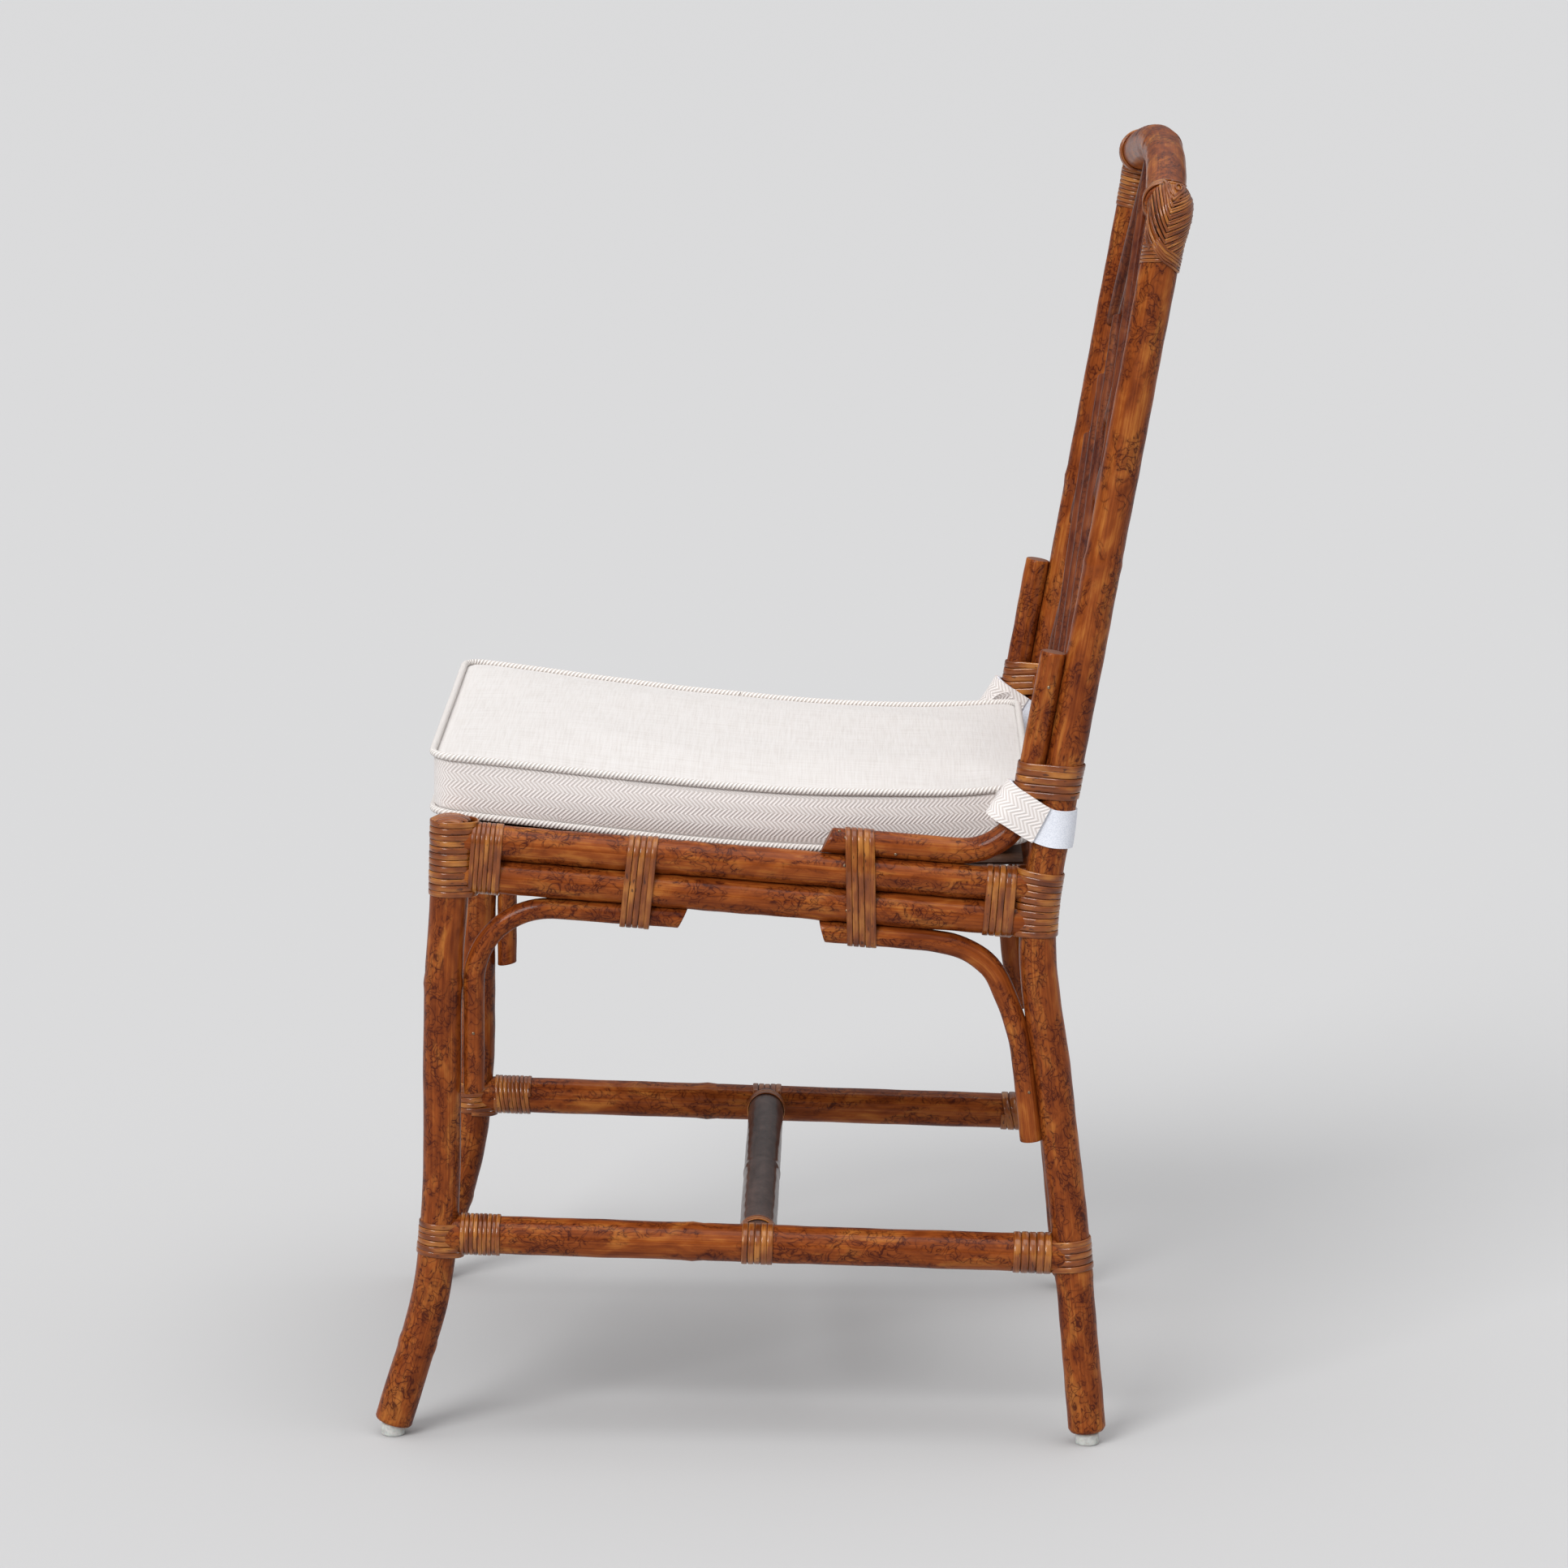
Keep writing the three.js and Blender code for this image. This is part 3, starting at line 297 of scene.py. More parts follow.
@dataclass(frozen=True)
class CanePeel(Finish):
    """Split rattan skin, wound wet and lacquered: golden brown, hard gloss, brown flecks where it split."""

    name: str = "lacquered_split_peel"
    low: str = "#52230c"
    middle: str = "#824317"
    high: str = "#b37331"

    def shade(self, tree: bpy.types.NodeTree) -> dict[str, Any]:
        """Build the lacquered peel.

        Args:
            tree: The material's node tree.

        Returns:
            The shader's inputs.
        """
        cane = add(tree, "Attribute", attribute_name="cane").outputs["Vector"]
        # The skin's tone drifts over 28 mm, and its fibres are 0.6 mm apart
        drift_at = add(tree, "VectorMath", cane, (36, 160, 90), operation="MULTIPLY")
        drift = add(tree, "TexNoise", links={"Vector": drift_at, "Scale": 1.0, "Detail": 3.0})
        fibre_at = add(tree, "VectorMath", cane, (50, 1600, 1600), operation="MULTIPLY")
        fibre = add(tree, "TexNoise", links={"Vector": fibre_at, "Scale": 1.0, "Detail": 2.0})
        tone = add(tree, "Math", fibre, 0.35, drift, operation="MULTIPLY_ADD")
        skin = add(tree, "ValToRGB", tone, stops=((0.46, self.low), (0.66, self.middle), (0.86, self.high)))
        # Flecks some 6 mm long and 1.6 mm wide
        fleck_at = add(tree, "VectorMath", cane, (160, 620, 620), operation="MULTIPLY")
        fleck = add(tree, "TexNoise", links={"Vector": fleck_at, "Scale": 1.0, "Detail": 1.0})
        held = add(tree, "MapRange", fleck, 0.66, 0.74, 0.0, 0.75, interpolation_type="SMOOTHSTEP")
        spotted = add(tree, "Mix", links={0: held, 6: skin, 7: linear("#351509")}, data_type="RGBA")
        return {
            "Base Color": spotted.outputs[2],
            "Roughness": 0.34,
            "Normal": add(tree, "Bump", links={"Height": fibre, "Strength": 0.35, "Distance": 0.0003}),
            "IOR": 1.5,
            "Specular IOR Level": 0.2,
            "Coat Weight": 0.55,
            "Coat Roughness": 0.06,
        }


@dataclass(frozen=True)
class HerringboneTwill(Finish):
    """Cream cotton twill woven in herringbone rows: soft zigzag ribs with a shadow between each two.

    The real rows are 4.8 mm tall and their ribs 1.5 mm apart, and both are drawn larger so that they show.
    """

    name: str = "herringbone_twill"
    row: float = 5.8
    pitch: float = 3.3
    high: str = "#f3edea"
    low: str = "#cfc5bf"

    def shade(self, tree: bpy.types.NodeTree) -> dict[str, Any]:
        """Build the zigzag weave.

        Args:
            tree: The material's node tree.

        Returns:
            The shader's inputs.
        """
        weave = add(tree, "UVMap", uv_map="weave").outputs[0]
        parts = add(tree, "SeparateXYZ", weave)
        fold = add(tree, "Math", parts.outputs["Y"], self.row * MM, operation="PINGPONG")
        slide = add(tree, "Math", parts.outputs["X"], fold, operation="ADD")
        angle = add(tree, "Math", slide, 2 * math.pi / (self.pitch * MM), operation="MULTIPLY")
        wave = add(tree, "Math", angle, operation="SINE")
        # The yarn's own grain is 0.4 mm across
        yarn = add(tree, "TexNoise", links={"Vector": weave, "Scale": 2400.0, "Detail": 2.0})
        height = add(tree, "Math", yarn, 0.9, wave, operation="MULTIPLY_ADD")
        shade = add(tree, "MapRange", height, -0.7, 1.2)
        colour = add(tree, "ValToRGB", shade, stops=((0.0, self.low), (0.45, "#e6dfdb"), (1.0, self.high)))
        return {
            "Base Color": colour,
            "Roughness": 0.88,
            "Normal": add(tree, "Bump", links={"Height": height, "Strength": 0.5, "Distance": 0.0006}),
            "Specular IOR Level": 0.25,
            "Sheen Weight": 0.25,
            "Sheen Roughness": 0.5,
        }


@dataclass(frozen=True)
class SlubLinen(Finish):
    """Cream linen in plain weave: fine crossed threads, with thicker slubs running both ways."""

    name: str = "slub_linen"
    thread: float = 1.5
    high: str = "#dfdbd8"
    low: str = "#cfc9c4"

    def shade(self, tree: bpy.types.NodeTree) -> dict[str, Any]:
        """Build the plain weave.

        Args:
            tree: The material's node tree.

        Returns:
            The shader's inputs.
        """
        place = add(tree, "TexCoord").outputs["Object"]
        parts = add(tree, "SeparateXYZ", place)
        turn = 2 * math.pi / (self.thread * MM)
        angles = [add(tree, "Math", parts.outputs[axis], turn, operation="MULTIPLY") for axis in "XY"]
        waves = [add(tree, "Math", angle, operation="SINE") for angle in angles]
        cross = add(tree, "Math", *waves, operation="MULTIPLY")
        # A slub is a thread some 1.5 mm thick and 40 mm long
        slubs = []
        for stretch in ((25, 650, 40), (650, 25, 40)):
            slub_at = add(tree, "VectorMath", place, stretch, operation="MULTIPLY")
            slubs.append(add(tree, "TexNoise", links={"Vector": slub_at, "Scale": 1.0, "Detail": 2.0}))
        both = add(tree, "Math", *slubs, operation="ADD")
        height = add(tree, "Math", cross, 0.16, both, operation="MULTIPLY_ADD")
        # Hollows between the threads are painted darker and the crowns and slubs lighter: painted light and
        # shade of the weave, on top of its bump.
        cloth = add(tree, "MapRange", height, 0.62, 1.3)
        colour = add(tree, "ValToRGB", cloth, stops=((0.0, self.low), (0.5, "#dad5d1"), (1.0, self.high)))
        return {
            "Base Color": colour,
            "Roughness": 0.9,
            "Normal": add(tree, "Bump", links={"Height": height, "Strength": 0.55, "Distance": 0.0005}),
            "Specular IOR Level": 0.25,
            "Sheen Weight": 0.25,
            "Sheen Roughness": 0.5,
        }


@dataclass(frozen=True)
class TwistedCord(Finish):
    """Cream three-ply cord sewn in the seams: its plies wind round it as slanting ridges.

    The ridges are drawn 3 mm apart, wider than the real ones, so that they show.
    """

    name: str = "twisted_cord"
    ply: float = 3.0

    def shade(self, tree: bpy.types.NodeTree) -> dict[str, Any]:
        """Build the plies.

        Args:
            tree: The material's node tree.

        Returns:
            The shader's inputs.
        """
        cane = add(tree, "Attribute", attribute_name="cane").outputs["Vector"]
        parts = add(tree, "SeparateXYZ", cane)
        angle = add(tree, "Math", parts.outputs["Z"], parts.outputs["Y"], operation="ARCTAN2")
        run = add(tree, "Math", parts.outputs["X"], 2 * math.pi / (self.ply * MM), operation="MULTIPLY")
        plies = add(tree, "Math", angle, 3.0, operation="MULTIPLY")
        slide = add(tree, "Math", run, plies, operation="ADD")
        wave = add(tree, "Math", slide, operation="SINE")
        # Grooves between the plies are painted darker and the ridges lighter: painted shade, on top of the
        # bump.
        shade = add(tree, "MapRange", wave, -1.0, 1.0)
        colour = add(tree, "ValToRGB", shade, stops=((0.0, "#c6bdb6"), (0.4, "#e8e2dd"), (1.0, "#f3efeb")))
        return {
            "Base Color": colour,
            "Roughness": 0.85,
            "Normal": add(tree, "Bump", links={"Height": wave, "Strength": 0.8, "Distance": 0.0005}),
            "Specular IOR Level": 0.25,
            "Sheen Weight": 0.2,
        }


@dataclass(frozen=True)
class HookTape(Finish):
    """White nylon hook-and-loop tape: a matt pile of tiny loops, 0.8 mm apart."""

    name: str = "hook_tape"

    def shade(self, tree: bpy.types.NodeTree) -> dict[str, Any]:
        """Build the pile.

        Args:
            tree: The material's node tree.

        Returns:
            The shader's inputs.
        """
        place = add(tree, "TexCoord").outputs["Object"]
        loops = add(tree, "TexVoronoi", links={"Vector": place, "Scale": 1250.0})
        colour = add(tree, "ValToRGB", loops, stops=((0.1, "#eef0f7"), (0.8, "#d5d9e3")))
        relief = add(tree, "Bump", links={"Height": loops, "Strength": 0.3, "Distance": 0.0003})
        return {"Base Color": colour, "Roughness": 0.8, "Normal": relief, "Sheen Weight": 0.3}


@dataclass(frozen=True)
class MilkyNylon(Finish):
    """Moulded nylon foot: cloudy grey-white, a little light passes into it, faint scuffs."""

    name: str = "milky_nylon"

    def shade(self, tree: bpy.types.NodeTree) -> dict[str, Any]:
        """Build the moulded foot.

        Args:
            tree: The material's node tree.

        Returns:
            The shader's inputs.
        """
        place = add(tree, "TexCoord").outputs["Object"]
        # Scuffs are 2.4 mm apart
        scuffs = add(tree, "TexNoise", links={"Vector": place, "Scale": 420.0, "Detail": 4.0})
        colour = add(tree, "ValToRGB", scuffs, stops=((0.3, "#b9b7b2"), (0.7, "#d6d4cf")))
        rough = add(tree, "MapRange", scuffs, 0.0, 1.0, 0.35, 0.55)
        return {"Base Color": colour, "Roughness": rough, "Subsurface Weight": 0.15}


@dataclass(frozen=True)
class SteelBrad(Finish):
    """Drawn steel brad head: bright where the hammer polished it, with fine brown tarnish."""

    name: str = "steel_brad"

    def shade(self, tree: bpy.types.NodeTree) -> dict[str, Any]:
        """Build the head.

        Args:
            tree: The material's node tree.

        Returns:
            The shader's inputs.
        """
        place = add(tree, "TexCoord").outputs["Object"]
        # Specks of tarnish are 0.7 mm apart
        tarnish = add(tree, "TexNoise", links={"Vector": place, "Scale": 1500.0, "Detail": 2.0})
        colour = add(tree, "ValToRGB", tarnish, stops=((0.35, "#5b4434"), (0.65, "#a8937b")))
        return {"Base Color": colour, "Metallic": 1.0, "Roughness": 0.34}


@dataclass(frozen=True)
class CoreWeave(Finish):
    """Rattan core laid close and bound across: dull brown rods, darkened as painted shade for its place under
    the cushion, most of all in the gaps between rods.
    """

    name: str = "core_weave"
    rod: float = 4.0

    def shade(self, tree: bpy.types.NodeTree) -> dict[str, Any]:
        """Build the close-laid core.

        Args:
            tree: The material's node tree.

        Returns:
            The shader's inputs.
        """
        place = add(tree, "TexCoord").outputs["Object"]
        across = add(tree, "SeparateXYZ", place).outputs["X"]
        angle = add(tree, "Math", across, math.pi / (self.rod * MM), operation="MULTIPLY")
        wave = add(tree, "Math", angle, operation="SINE")
        size = add(tree, "Math", wave, operation="ABSOLUTE")
        # The core's fibres are 1.1 mm apart and run along the chair's depth
        fibre_at = add(tree, "VectorMath", place, (900, 30, 900), operation="MULTIPLY")
        fibre = add(tree, "TexNoise", links={"Vector": fibre_at, "Scale": 1.0, "Detail": 2.0})
        # Gaps between rods map to near black and rod crowns to the lightest brown: painted shade, on top of
        # the ribs' bump.
        mixed = add(tree, "Math", fibre, 0.5, size, operation="MULTIPLY_ADD")
        colour = add(tree, "ValToRGB", mixed, stops=((0.25, "#180a05"), (0.6, "#3a1e10"), (1.0, "#563319")))
        relief = add(tree, "Bump", links={"Height": size, "Strength": 0.8, "Distance": 0.001})
        return {"Base Color": colour, "Roughness": 0.6, "Normal": relief}


@dataclass(frozen=True)
class StudioPaper(Finish):
    """Seamless backdrop paper: plain pale grey, quite matt."""

    name: str = "studio_paper"
    colour: str = "#c3c3c3"

    def shade(self, tree: bpy.types.NodeTree) -> dict[str, Any]:
        """Return the paper's inputs."""
        return {"Base Color": linear(self.colour), "Roughness": 0.95, "Specular IOR Level": 0.1}


def unit(v: np.ndarray) -> np.ndarray:
    """Return vectors of length one along the last axis."""
    return v / np.maximum(np.linalg.norm(v, axis=-1, keepdims=True), 1e-9)


def distances(line: np.ndarray) -> np.ndarray:
    """Return how far along a line each of its places is."""
    return np.concatenate(([0.0], np.cumsum(np.linalg.norm(np.diff(line, axis=0), axis=1))))


def taut_line(
    spots: Sequence[tuple[float, float]], score: Callable[[np.ndarray], np.ndarray], at: np.ndarray
) -> np.ndarray:
    """Wrap a taut line round spots in a plane, anticlockwise.

    Args:
        spots: The spots that it goes round.
        score: Takes the line's corners and scores each, and the line starts at the highest.
        at: How far along the line the wanted places are, as shares of its length.

    Returns:
        The places.
    """
    ring = np.array([spots[i] for i in geometry.convex_hull_2d(spots)])
    ring = np.roll(ring, -int(np.argmax(score(ring))), axis=0)
    area = np.sum(ring[:, 0] * np.roll(ring[:, 1], -1) - np.roll(ring[:, 0], -1) * ring[:, 1])
    if area < 0:
        ring = np.vstack([ring[:1], ring[:0:-1]])
    closed = np.vstack([ring, ring[:1]])
    along = distances(closed)
    return np.stack([np.interp(at * along[-1], along, closed[:, i]) for i in (0, 1)], axis=1)


@dataclass
class Track:
    """A line of places with an outward direction at each, that a straight rod or strand is laid along.

    Args:
        places: The line's places, in millimetres.
        outward: The direction of the rod's first cross axis at each place.
    """

    places: np.ndarray
    outward: np.ndarray
    closed: bool = False

    def __post_init__(self) -> None:
        """Measure the line."""
        self.lengths = distances(self.places)
        self.length = float(self.lengths[-1])

    @classmethod
    def bent(
        cls,
        points: Sequence[Sequence[float]],
        flat: np.ndarray,
        bends: Optional[dict[int, float]] = None,
        smooth: bool = False,
    ) -> "Track":
        """Make a track from corner points.

        Args:
            points: Corners or places on the line.
            flat: The direction that the line's bends turn about.
            bends: The bend radius at corners, by their number.
            smooth: Whether a smooth curve runs through the points.

        Returns:
            The track.
        """
        corners = [np.array(p, float) for p in points]
        if smooth:
            dense = cls._flowing(np.array(corners))
        else:
            rows: list[np.ndarray] = [corners[0]]
            for i in range(1, len(corners) - 1):
                rows.extend(cls._arc(corners[i - 1], corners[i], corners[i + 1], (bends or {}).get(i, 0.0)))
            rows.append(corners[-1])
            dense = np.array(rows)
        along = unit(np.gradient(dense, axis=0))
        return cls(dense, np.cross(np.broadcast_to(flat, along.shape), along))

    @staticmethod
    def _arc(before: np.ndarray, corner: np.ndarray, after: np.ndarray, radius: float) -> list[np.ndarray]:
        """Round one corner.

        Args:
            before: The corner before it.
            corner: The corner itself.
            after: The corner after it.
            radius: The bend's radius.

        Returns:
            The places on the bend.
        """
        into, out = unit(corner - before), unit(after - corner)
        turn = math.acos(max(-1.0, min(1.0, float(into @ out))))
        if radius <= 0 or turn < 1e-3:
            return [corner]
        reach = radius * math.tan(turn / 2)
        centre = corner - into * reach + unit(out - into * float(into @ out)) * radius
        start = corner - into * reach - centre
        side = into * radius
        steps = max(6, int(turn * radius / 3))
        return [
            centre + start * math.cos(turn * k / steps) + side * math.sin(turn * k / steps)
            for k in range(steps + 1)
        ]

    @staticmethod
    def _flowing(points: np.ndarray) -> np.ndarray:
        """Run a smooth curve through points.

        Args:
            points: The places that it passes.

        Returns:
            Close-set places on the curve.
        """
        first, last = 2 * points[0] - points[1], 2 * points[-1] - points[-2]
        ring = np.vstack([first, points, last])
        rows = []
        for i in range(1, len(ring) - 2):
            a, b, c, d = ring[i - 1 : i + 3]
            gap = [max(np.linalg.norm(q - p), 1e-6) for p, q in ((a, b), (b, c), (c, d))]
            m1 = gap[1] * ((c - b) / gap[1] - (c - a) / (gap[0] + gap[1]) + (b - a) / gap[0])
            m2 = gap[1] * ((d - c) / gap[2] - (d - b) / (gap[1] + gap[2]) + (c - b) / gap[1])
            steps = max(4, int(gap[1] / 4))
            for k in range(steps):
                t = k / steps
                rows.append(
                    (2 * t**3 - 3 * t**2 + 1) * b
                    + (t**3 - 2 * t**2 + t) * m1
                    + (3 * t**2 - 2 * t**3) * c
                    + (t**3 - t**2) * m2
                )
        rows.append(points[-1])
        return np.array(rows)

    def at(self, distance: np.ndarray) -> tuple[np.ndarray, np.ndarray, np.ndarray, np.ndarray]:
        """Find the line's frame at distances along it.

        Args:
            distance: Distances from its start, which may pass its ends.

        Returns:
            The places, and the outward, side and forward directions.
        """
        inside = np.mod(distance, self.length) if self.closed else np.clip(distance, 0, self.length)
        place = self._between(self.places, inside)
        ahead = self._between(self.places, self._kept(inside + 1.5))
        back = self._between(self.places, self._kept(inside - 1.5))
        along = unit(ahead - back)
        if not self.closed:
            place = place + along * (distance - inside)[:, None]
        out = self._between(self.outward, inside)
        out = unit(out - along * (out * along).sum(1)[:, None])
        return place, out, np.cross(along, out), along

    def _kept(self, distance: np.ndarray) -> np.ndarray:
        """Return distances brought back onto the line."""
        return np.mod(distance, self.length) if self.closed else np.clip(distance, 0, self.length)

    def _between(self, values: np.ndarray, distance: np.ndarray) -> np.ndarray:
        """Return values interpolated at distances."""
        return np.stack([np.interp(distance, self.lengths, values[:, i]) for i in range(3)], axis=1)

    def reach(self, height: float) -> float:
        """Return how far along the line it is at a height."""
        return float(np.interp(height, self.places[:, 2], self.lengths))

    def shifted(self, move: Sequence[float]) -> "Track":
        """Return the same track moved by a vector."""
        return Track(self.places + np.array(move, float), self.outward.copy(), self.closed)


def only(obj: bpy.types.Object) -> bpy.types.Object:
    """Deselect all else and make an object the active one."""
    for other in bpy.context.view_layer.objects:
        other.select_set(False)
    obj.select_set(True)
    bpy.context.view_layer.objects.active = obj
    return obj


def clear_selection() -> None:
    """Deselect every object, so that a new primitive is alone."""
    for other in bpy.context.view_layer.objects:
        other.select_set(False)


def coordinates(mesh: bpy.types.Mesh) -> np.ndarray:
    """Return a mesh's vertices as an array."""
    flat = np.empty(len(mesh.vertices) * 3, np.float64)
    mesh.vertices.foreach_get("co", flat)
    return flat.reshape(-1, 3)


def move_vertices(mesh: bpy.types.Mesh, places: np.ndarray) -> None:
    """Put a mesh's vertices at new places."""
    mesh.vertices.foreach_set("co", places.astype(np.float32).ravel())
    mesh.update()


def enter_edit(kind: str) -> None:
    """Go into edit mode so that the picked parts stay picked.

    Args:
        kind: Which parts are picked: "VERT", "EDGE" or "FACE".
    """
    bpy.context.tool_settings.mesh_select_mode = tuple(kind == name for name in ("VERT", "EDGE", "FACE"))
    bpy.ops.object.mode_set(mode="EDIT")


def turn_outwards(obj: bpy.types.Object) -> None:
    """Make every face of an object point outwards."""
    only(obj)
    bpy.ops.object.mode_set(mode="EDIT")
    bpy.ops.mesh.select_all(action="SELECT")
    bpy.ops.mesh.normals_make_consistent(inside=False)
    bpy.ops.object.mode_set(mode="OBJECT")


def modify(obj: bpy.types.Object, kind: str, **settings: Any) -> None:
    """Give the active object a modifier with its settings, and apply it."""
    modifier = obj.modifiers.new(kind.lower(), kind)
    for name, value in settings.items():
        setattr(modifier, name, value)
    bpy.ops.object.modifier_apply(modifier=modifier.name)


def number_faces(mesh: bpy.types.Mesh, number: int) -> None:
    """Give every face of a mesh the finish of that number."""
    mesh.polygons.foreach_set("material_index", np.full(len(mesh.polygons), number, np.int32))


def pick_edges(mesh: bpy.types.Mesh, test: Callable[[np.ndarray, np.ndarray], np.ndarray]) -> None:
    """Select the edges whose two ends pass a test, and nothing else.

    Args:
        mesh: The mesh, in object mode.
        test: Takes the two ends' places and says which edges are wanted.
    """
    places = coordinates(mesh)
    ends = np.empty(len(mesh.edges) * 2, np.int32)
    mesh.edges.foreach_get("vertices", ends)
    ends = ends.reshape(-1, 2)
    wanted = test(places[ends[:, 0]], places[ends[:, 1]])
    picked = np.zeros(len(mesh.vertices), bool)
    picked[ends[wanted].ravel()] = True
    mesh.vertices.foreach_set("select", picked)
    mesh.edges.foreach_set("select", wanted)
    mesh.polygons.foreach_set("select", np.zeros(len(mesh.polygons), bool))


@dataclass
class Rod:
    """A pole or strand: a cylinder that is ringed, its rims eased, and laid along a track.

    Args:
        name: The piece's name.
        track: The line that it follows.
        wide: Half its size across its outward direction.
        thick: Half its size along its outward direction.
    """

    name: str
    track: Track
    wide: float
    thick: Optional[float] = None
    sides: int = 28
    step: float = 4.0
    rim: float = 1.4
    start: float = 0.0
    end: Optional[float] = None
    cuts: tuple[float, float] = (0.0, 0.0)
    swell: Sequence[float] = ()
    uneven: float = 0.0
    square: float = 1.0
    seed: int = 1

    def build(self) -> bpy.types.Object:
        """Make the rod in its place.

        Returns:
            The rod, as a mesh object at the origin.
        """
        obj = self._ringed()
        mesh = obj.data
        bare = coordinates(mesh)
        self._mark(mesh, bare)
        shaped = self._shaped(bare)
        self._lay(mesh, shaped)
        mesh.shade_smooth()
        return obj

    @property
    def length(self) -> float:
        """The rod's length along its track."""
        return (self.track.length if self.end is None else self.end) - self.start

    def _ringed(self) -> bpy.types.Object:
        """Return a straight cylinder of radius one with its rings and eased rims."""
        clear_selection()
        length = self.length
        bpy.ops.mesh.primitive_cylinder_add(
            vertices=self.sides, radius=1.0, depth=length, location=(0, 0, 0), end_fill_type="NGON"
        )
        obj = bpy.context.object
        obj.name = obj.data.name = self.name
        rings = max(1, int(length / self.step) - 1)
        pick_edges(obj.data, lambda a, b: np.abs(a[:, 2] - b[:, 2]) > length / 2)
        enter_edit("EDGE")
        bpy.ops.mesh.subdivide_edgering(number_cuts=rings, interpolation="LINEAR", smoothness=0.0)
        bpy.ops.object.mode_set(mode="OBJECT")
        places = coordinates(obj.data)
        places[:, 2] += length / 2
        move_vertices(obj.data, places)
        if self.rim > 0:
            self._ease(obj, length)
        return obj

    def _ease(self, obj: bpy.types.Object, length: float) -> None:
        """Inset both end faces and pull the old rims back, so that each rim is rounded.

        Args:
            obj: The straight rod.
            length: Its length.
        """
        for level in (0.0, length):
            share = self.rim / self.wide
            for inset in (0.35, 0.65):
                mesh = obj.data
                near = np.array([abs(p.center[2] - level) < 1e-3 for p in mesh.polygons])
                whole = np.array([len(p.vertices) == self.sides for p in mesh.polygons])
                mesh.vertices.foreach_set("select", np.zeros(len(mesh.vertices), bool))
                mesh.edges.foreach_set("select", np.zeros(len(mesh.edges), bool))
                mesh.polygons.foreach_set("select", near & whole)
                enter_edit("FACE")
                bpy.ops.mesh.inset(thickness=inset * share, depth=0.0)
                bpy.ops.object.mode_set(mode="OBJECT")
        places = coordinates(obj.data)
        radius = np.hypot(places[:, 0], places[:, 1])
        for level, way in ((0.0, 1), (length, -1)):
            near = np.abs(places[:, 2] - level) < 1e-3
            eased = np.clip((radius - (1 - self.rim / self.wide)) / (self.rim / self.wide), 0, 1)
            places[near, 2] += way * (1 - np.sqrt(1 - eased[near] ** 2 * 0.98)) * self.rim
        move_vertices(obj.data, places)

    def _mark(self, mesh: bpy.types.Mesh, bare: np.ndarray) -> None:
        """Store each vertex's distance along the cane and its place across it, and give the ends their slot.

        Args:
            mesh: The straight rod's mesh.
            bare: Its vertices.
        """
        cane = np.empty_like(bare)
        thick = self.wide if self.thick is None else self.thick
        cane[:, 0] = bare[:, 2] + self.start + 731.0 * self.seed
        cane[:, 1] = bare[:, 0] * thick
        cane[:, 2] = bare[:, 1] * self.wide
        mark = mesh.attributes.new("cane", "FLOAT_VECTOR", "POINT")
        mark.data.foreach_set("vector", (cane * MM).astype(np.float32).ravel())
        level = np.array([abs(p.normal[2]) > 0.9 and len(p.vertices) >= self.sides for p in mesh.polygons])
        mesh.polygons.foreach_set("material_index", level.astype(np.int32))

    def _shaped(self, bare: np.ndarray) -> np.ndarray:
        """Give the rod its real section, swellings, unevenness and slanted ends.

        Args:
            bare: The straight rod's vertices.

        Returns:
            The shaped vertices, still straight.
        """
        out = bare.copy()
        run = out[:, 2] + self.start
        angle = np.arctan2(out[:, 1], out[:, 0])
        radius = np.hypot(out[:, 0], out[:, 1])
        size = np.ones(len(out))
        for place in self.swell:
            ring = np.exp(-(((run - place) / 4.5) ** 2))
            groove = np.exp(-(((run - place - 7) / 3.0) ** 2))
            size += 0.05 * ring - 0.018 * groove
        if self.uneven:
            rng = np.random.default_rng(self.seed)
            for wavelength in (140.0, 61.0, 27.0):
                shift, turn = rng.uniform(0, 2 * math.pi, 2)
                size += self.uneven / self.wide * np.sin(run * 2 * math.pi / wavelength + shift) * (
                    0.6 + 0.4 * np.sin(2 * angle + turn)
                )
        c, s = np.cos(angle), np.sin(angle)
        thick = self.wide if self.thick is None else self.thick
        out[:, 0] = np.sign(c) * np.abs(c) ** self.square * radius * size * thick
        out[:, 1] = np.sign(s) * np.abs(s) ** self.square * radius * size * self.wide
        for slope, level, way in ((self.cuts[0], 0.0, 1), (self.cuts[1], self.length, -1)):
            reach = abs(slope) * self.wide * 1.6 + self.rim + 0.1
            near = np.clip(1 - np.abs(out[:, 2] - level) / max(reach, 0.1), 0, 1)
            out[:, 2] += out[:, 0] * slope * near
        return out

    def _lay(self, mesh: bpy.types.Mesh, shaped: np.ndarray) -> None:
        """Carry the straight rod onto its track.

        Args:
            mesh: The rod's mesh.
            shaped: Its shaped vertices.
        """
        place, out, side, _ = self.track.at(shaped[:, 2] + self.start)
        laid = place + out * shaped[:, :1] + side * shaped[:, 1:2]
        move_vertices(mesh, laid * MM)


def dress(obj: bpy.types.Object, slot: Slot, *finishes: Finish) -> bpy.types.Object:
    """Give a piece its finishes.

    Args:
        obj: The piece.
        slot: The record's material slot, which is not used.
        finishes: Its finishes, in the order of the faces' numbers.

    Returns:
        The piece.
    """
    mesh = obj.data
    numbers = np.empty(len(mesh.polygons), np.int32)
    mesh.polygons.foreach_get("material_index", numbers)
    mesh.materials.clear()
    for finish in finishes:
        mesh.materials.append(finish.material())
    mesh.polygons.foreach_set("material_index", np.minimum(numbers, len(finishes) - 1))
    return obj


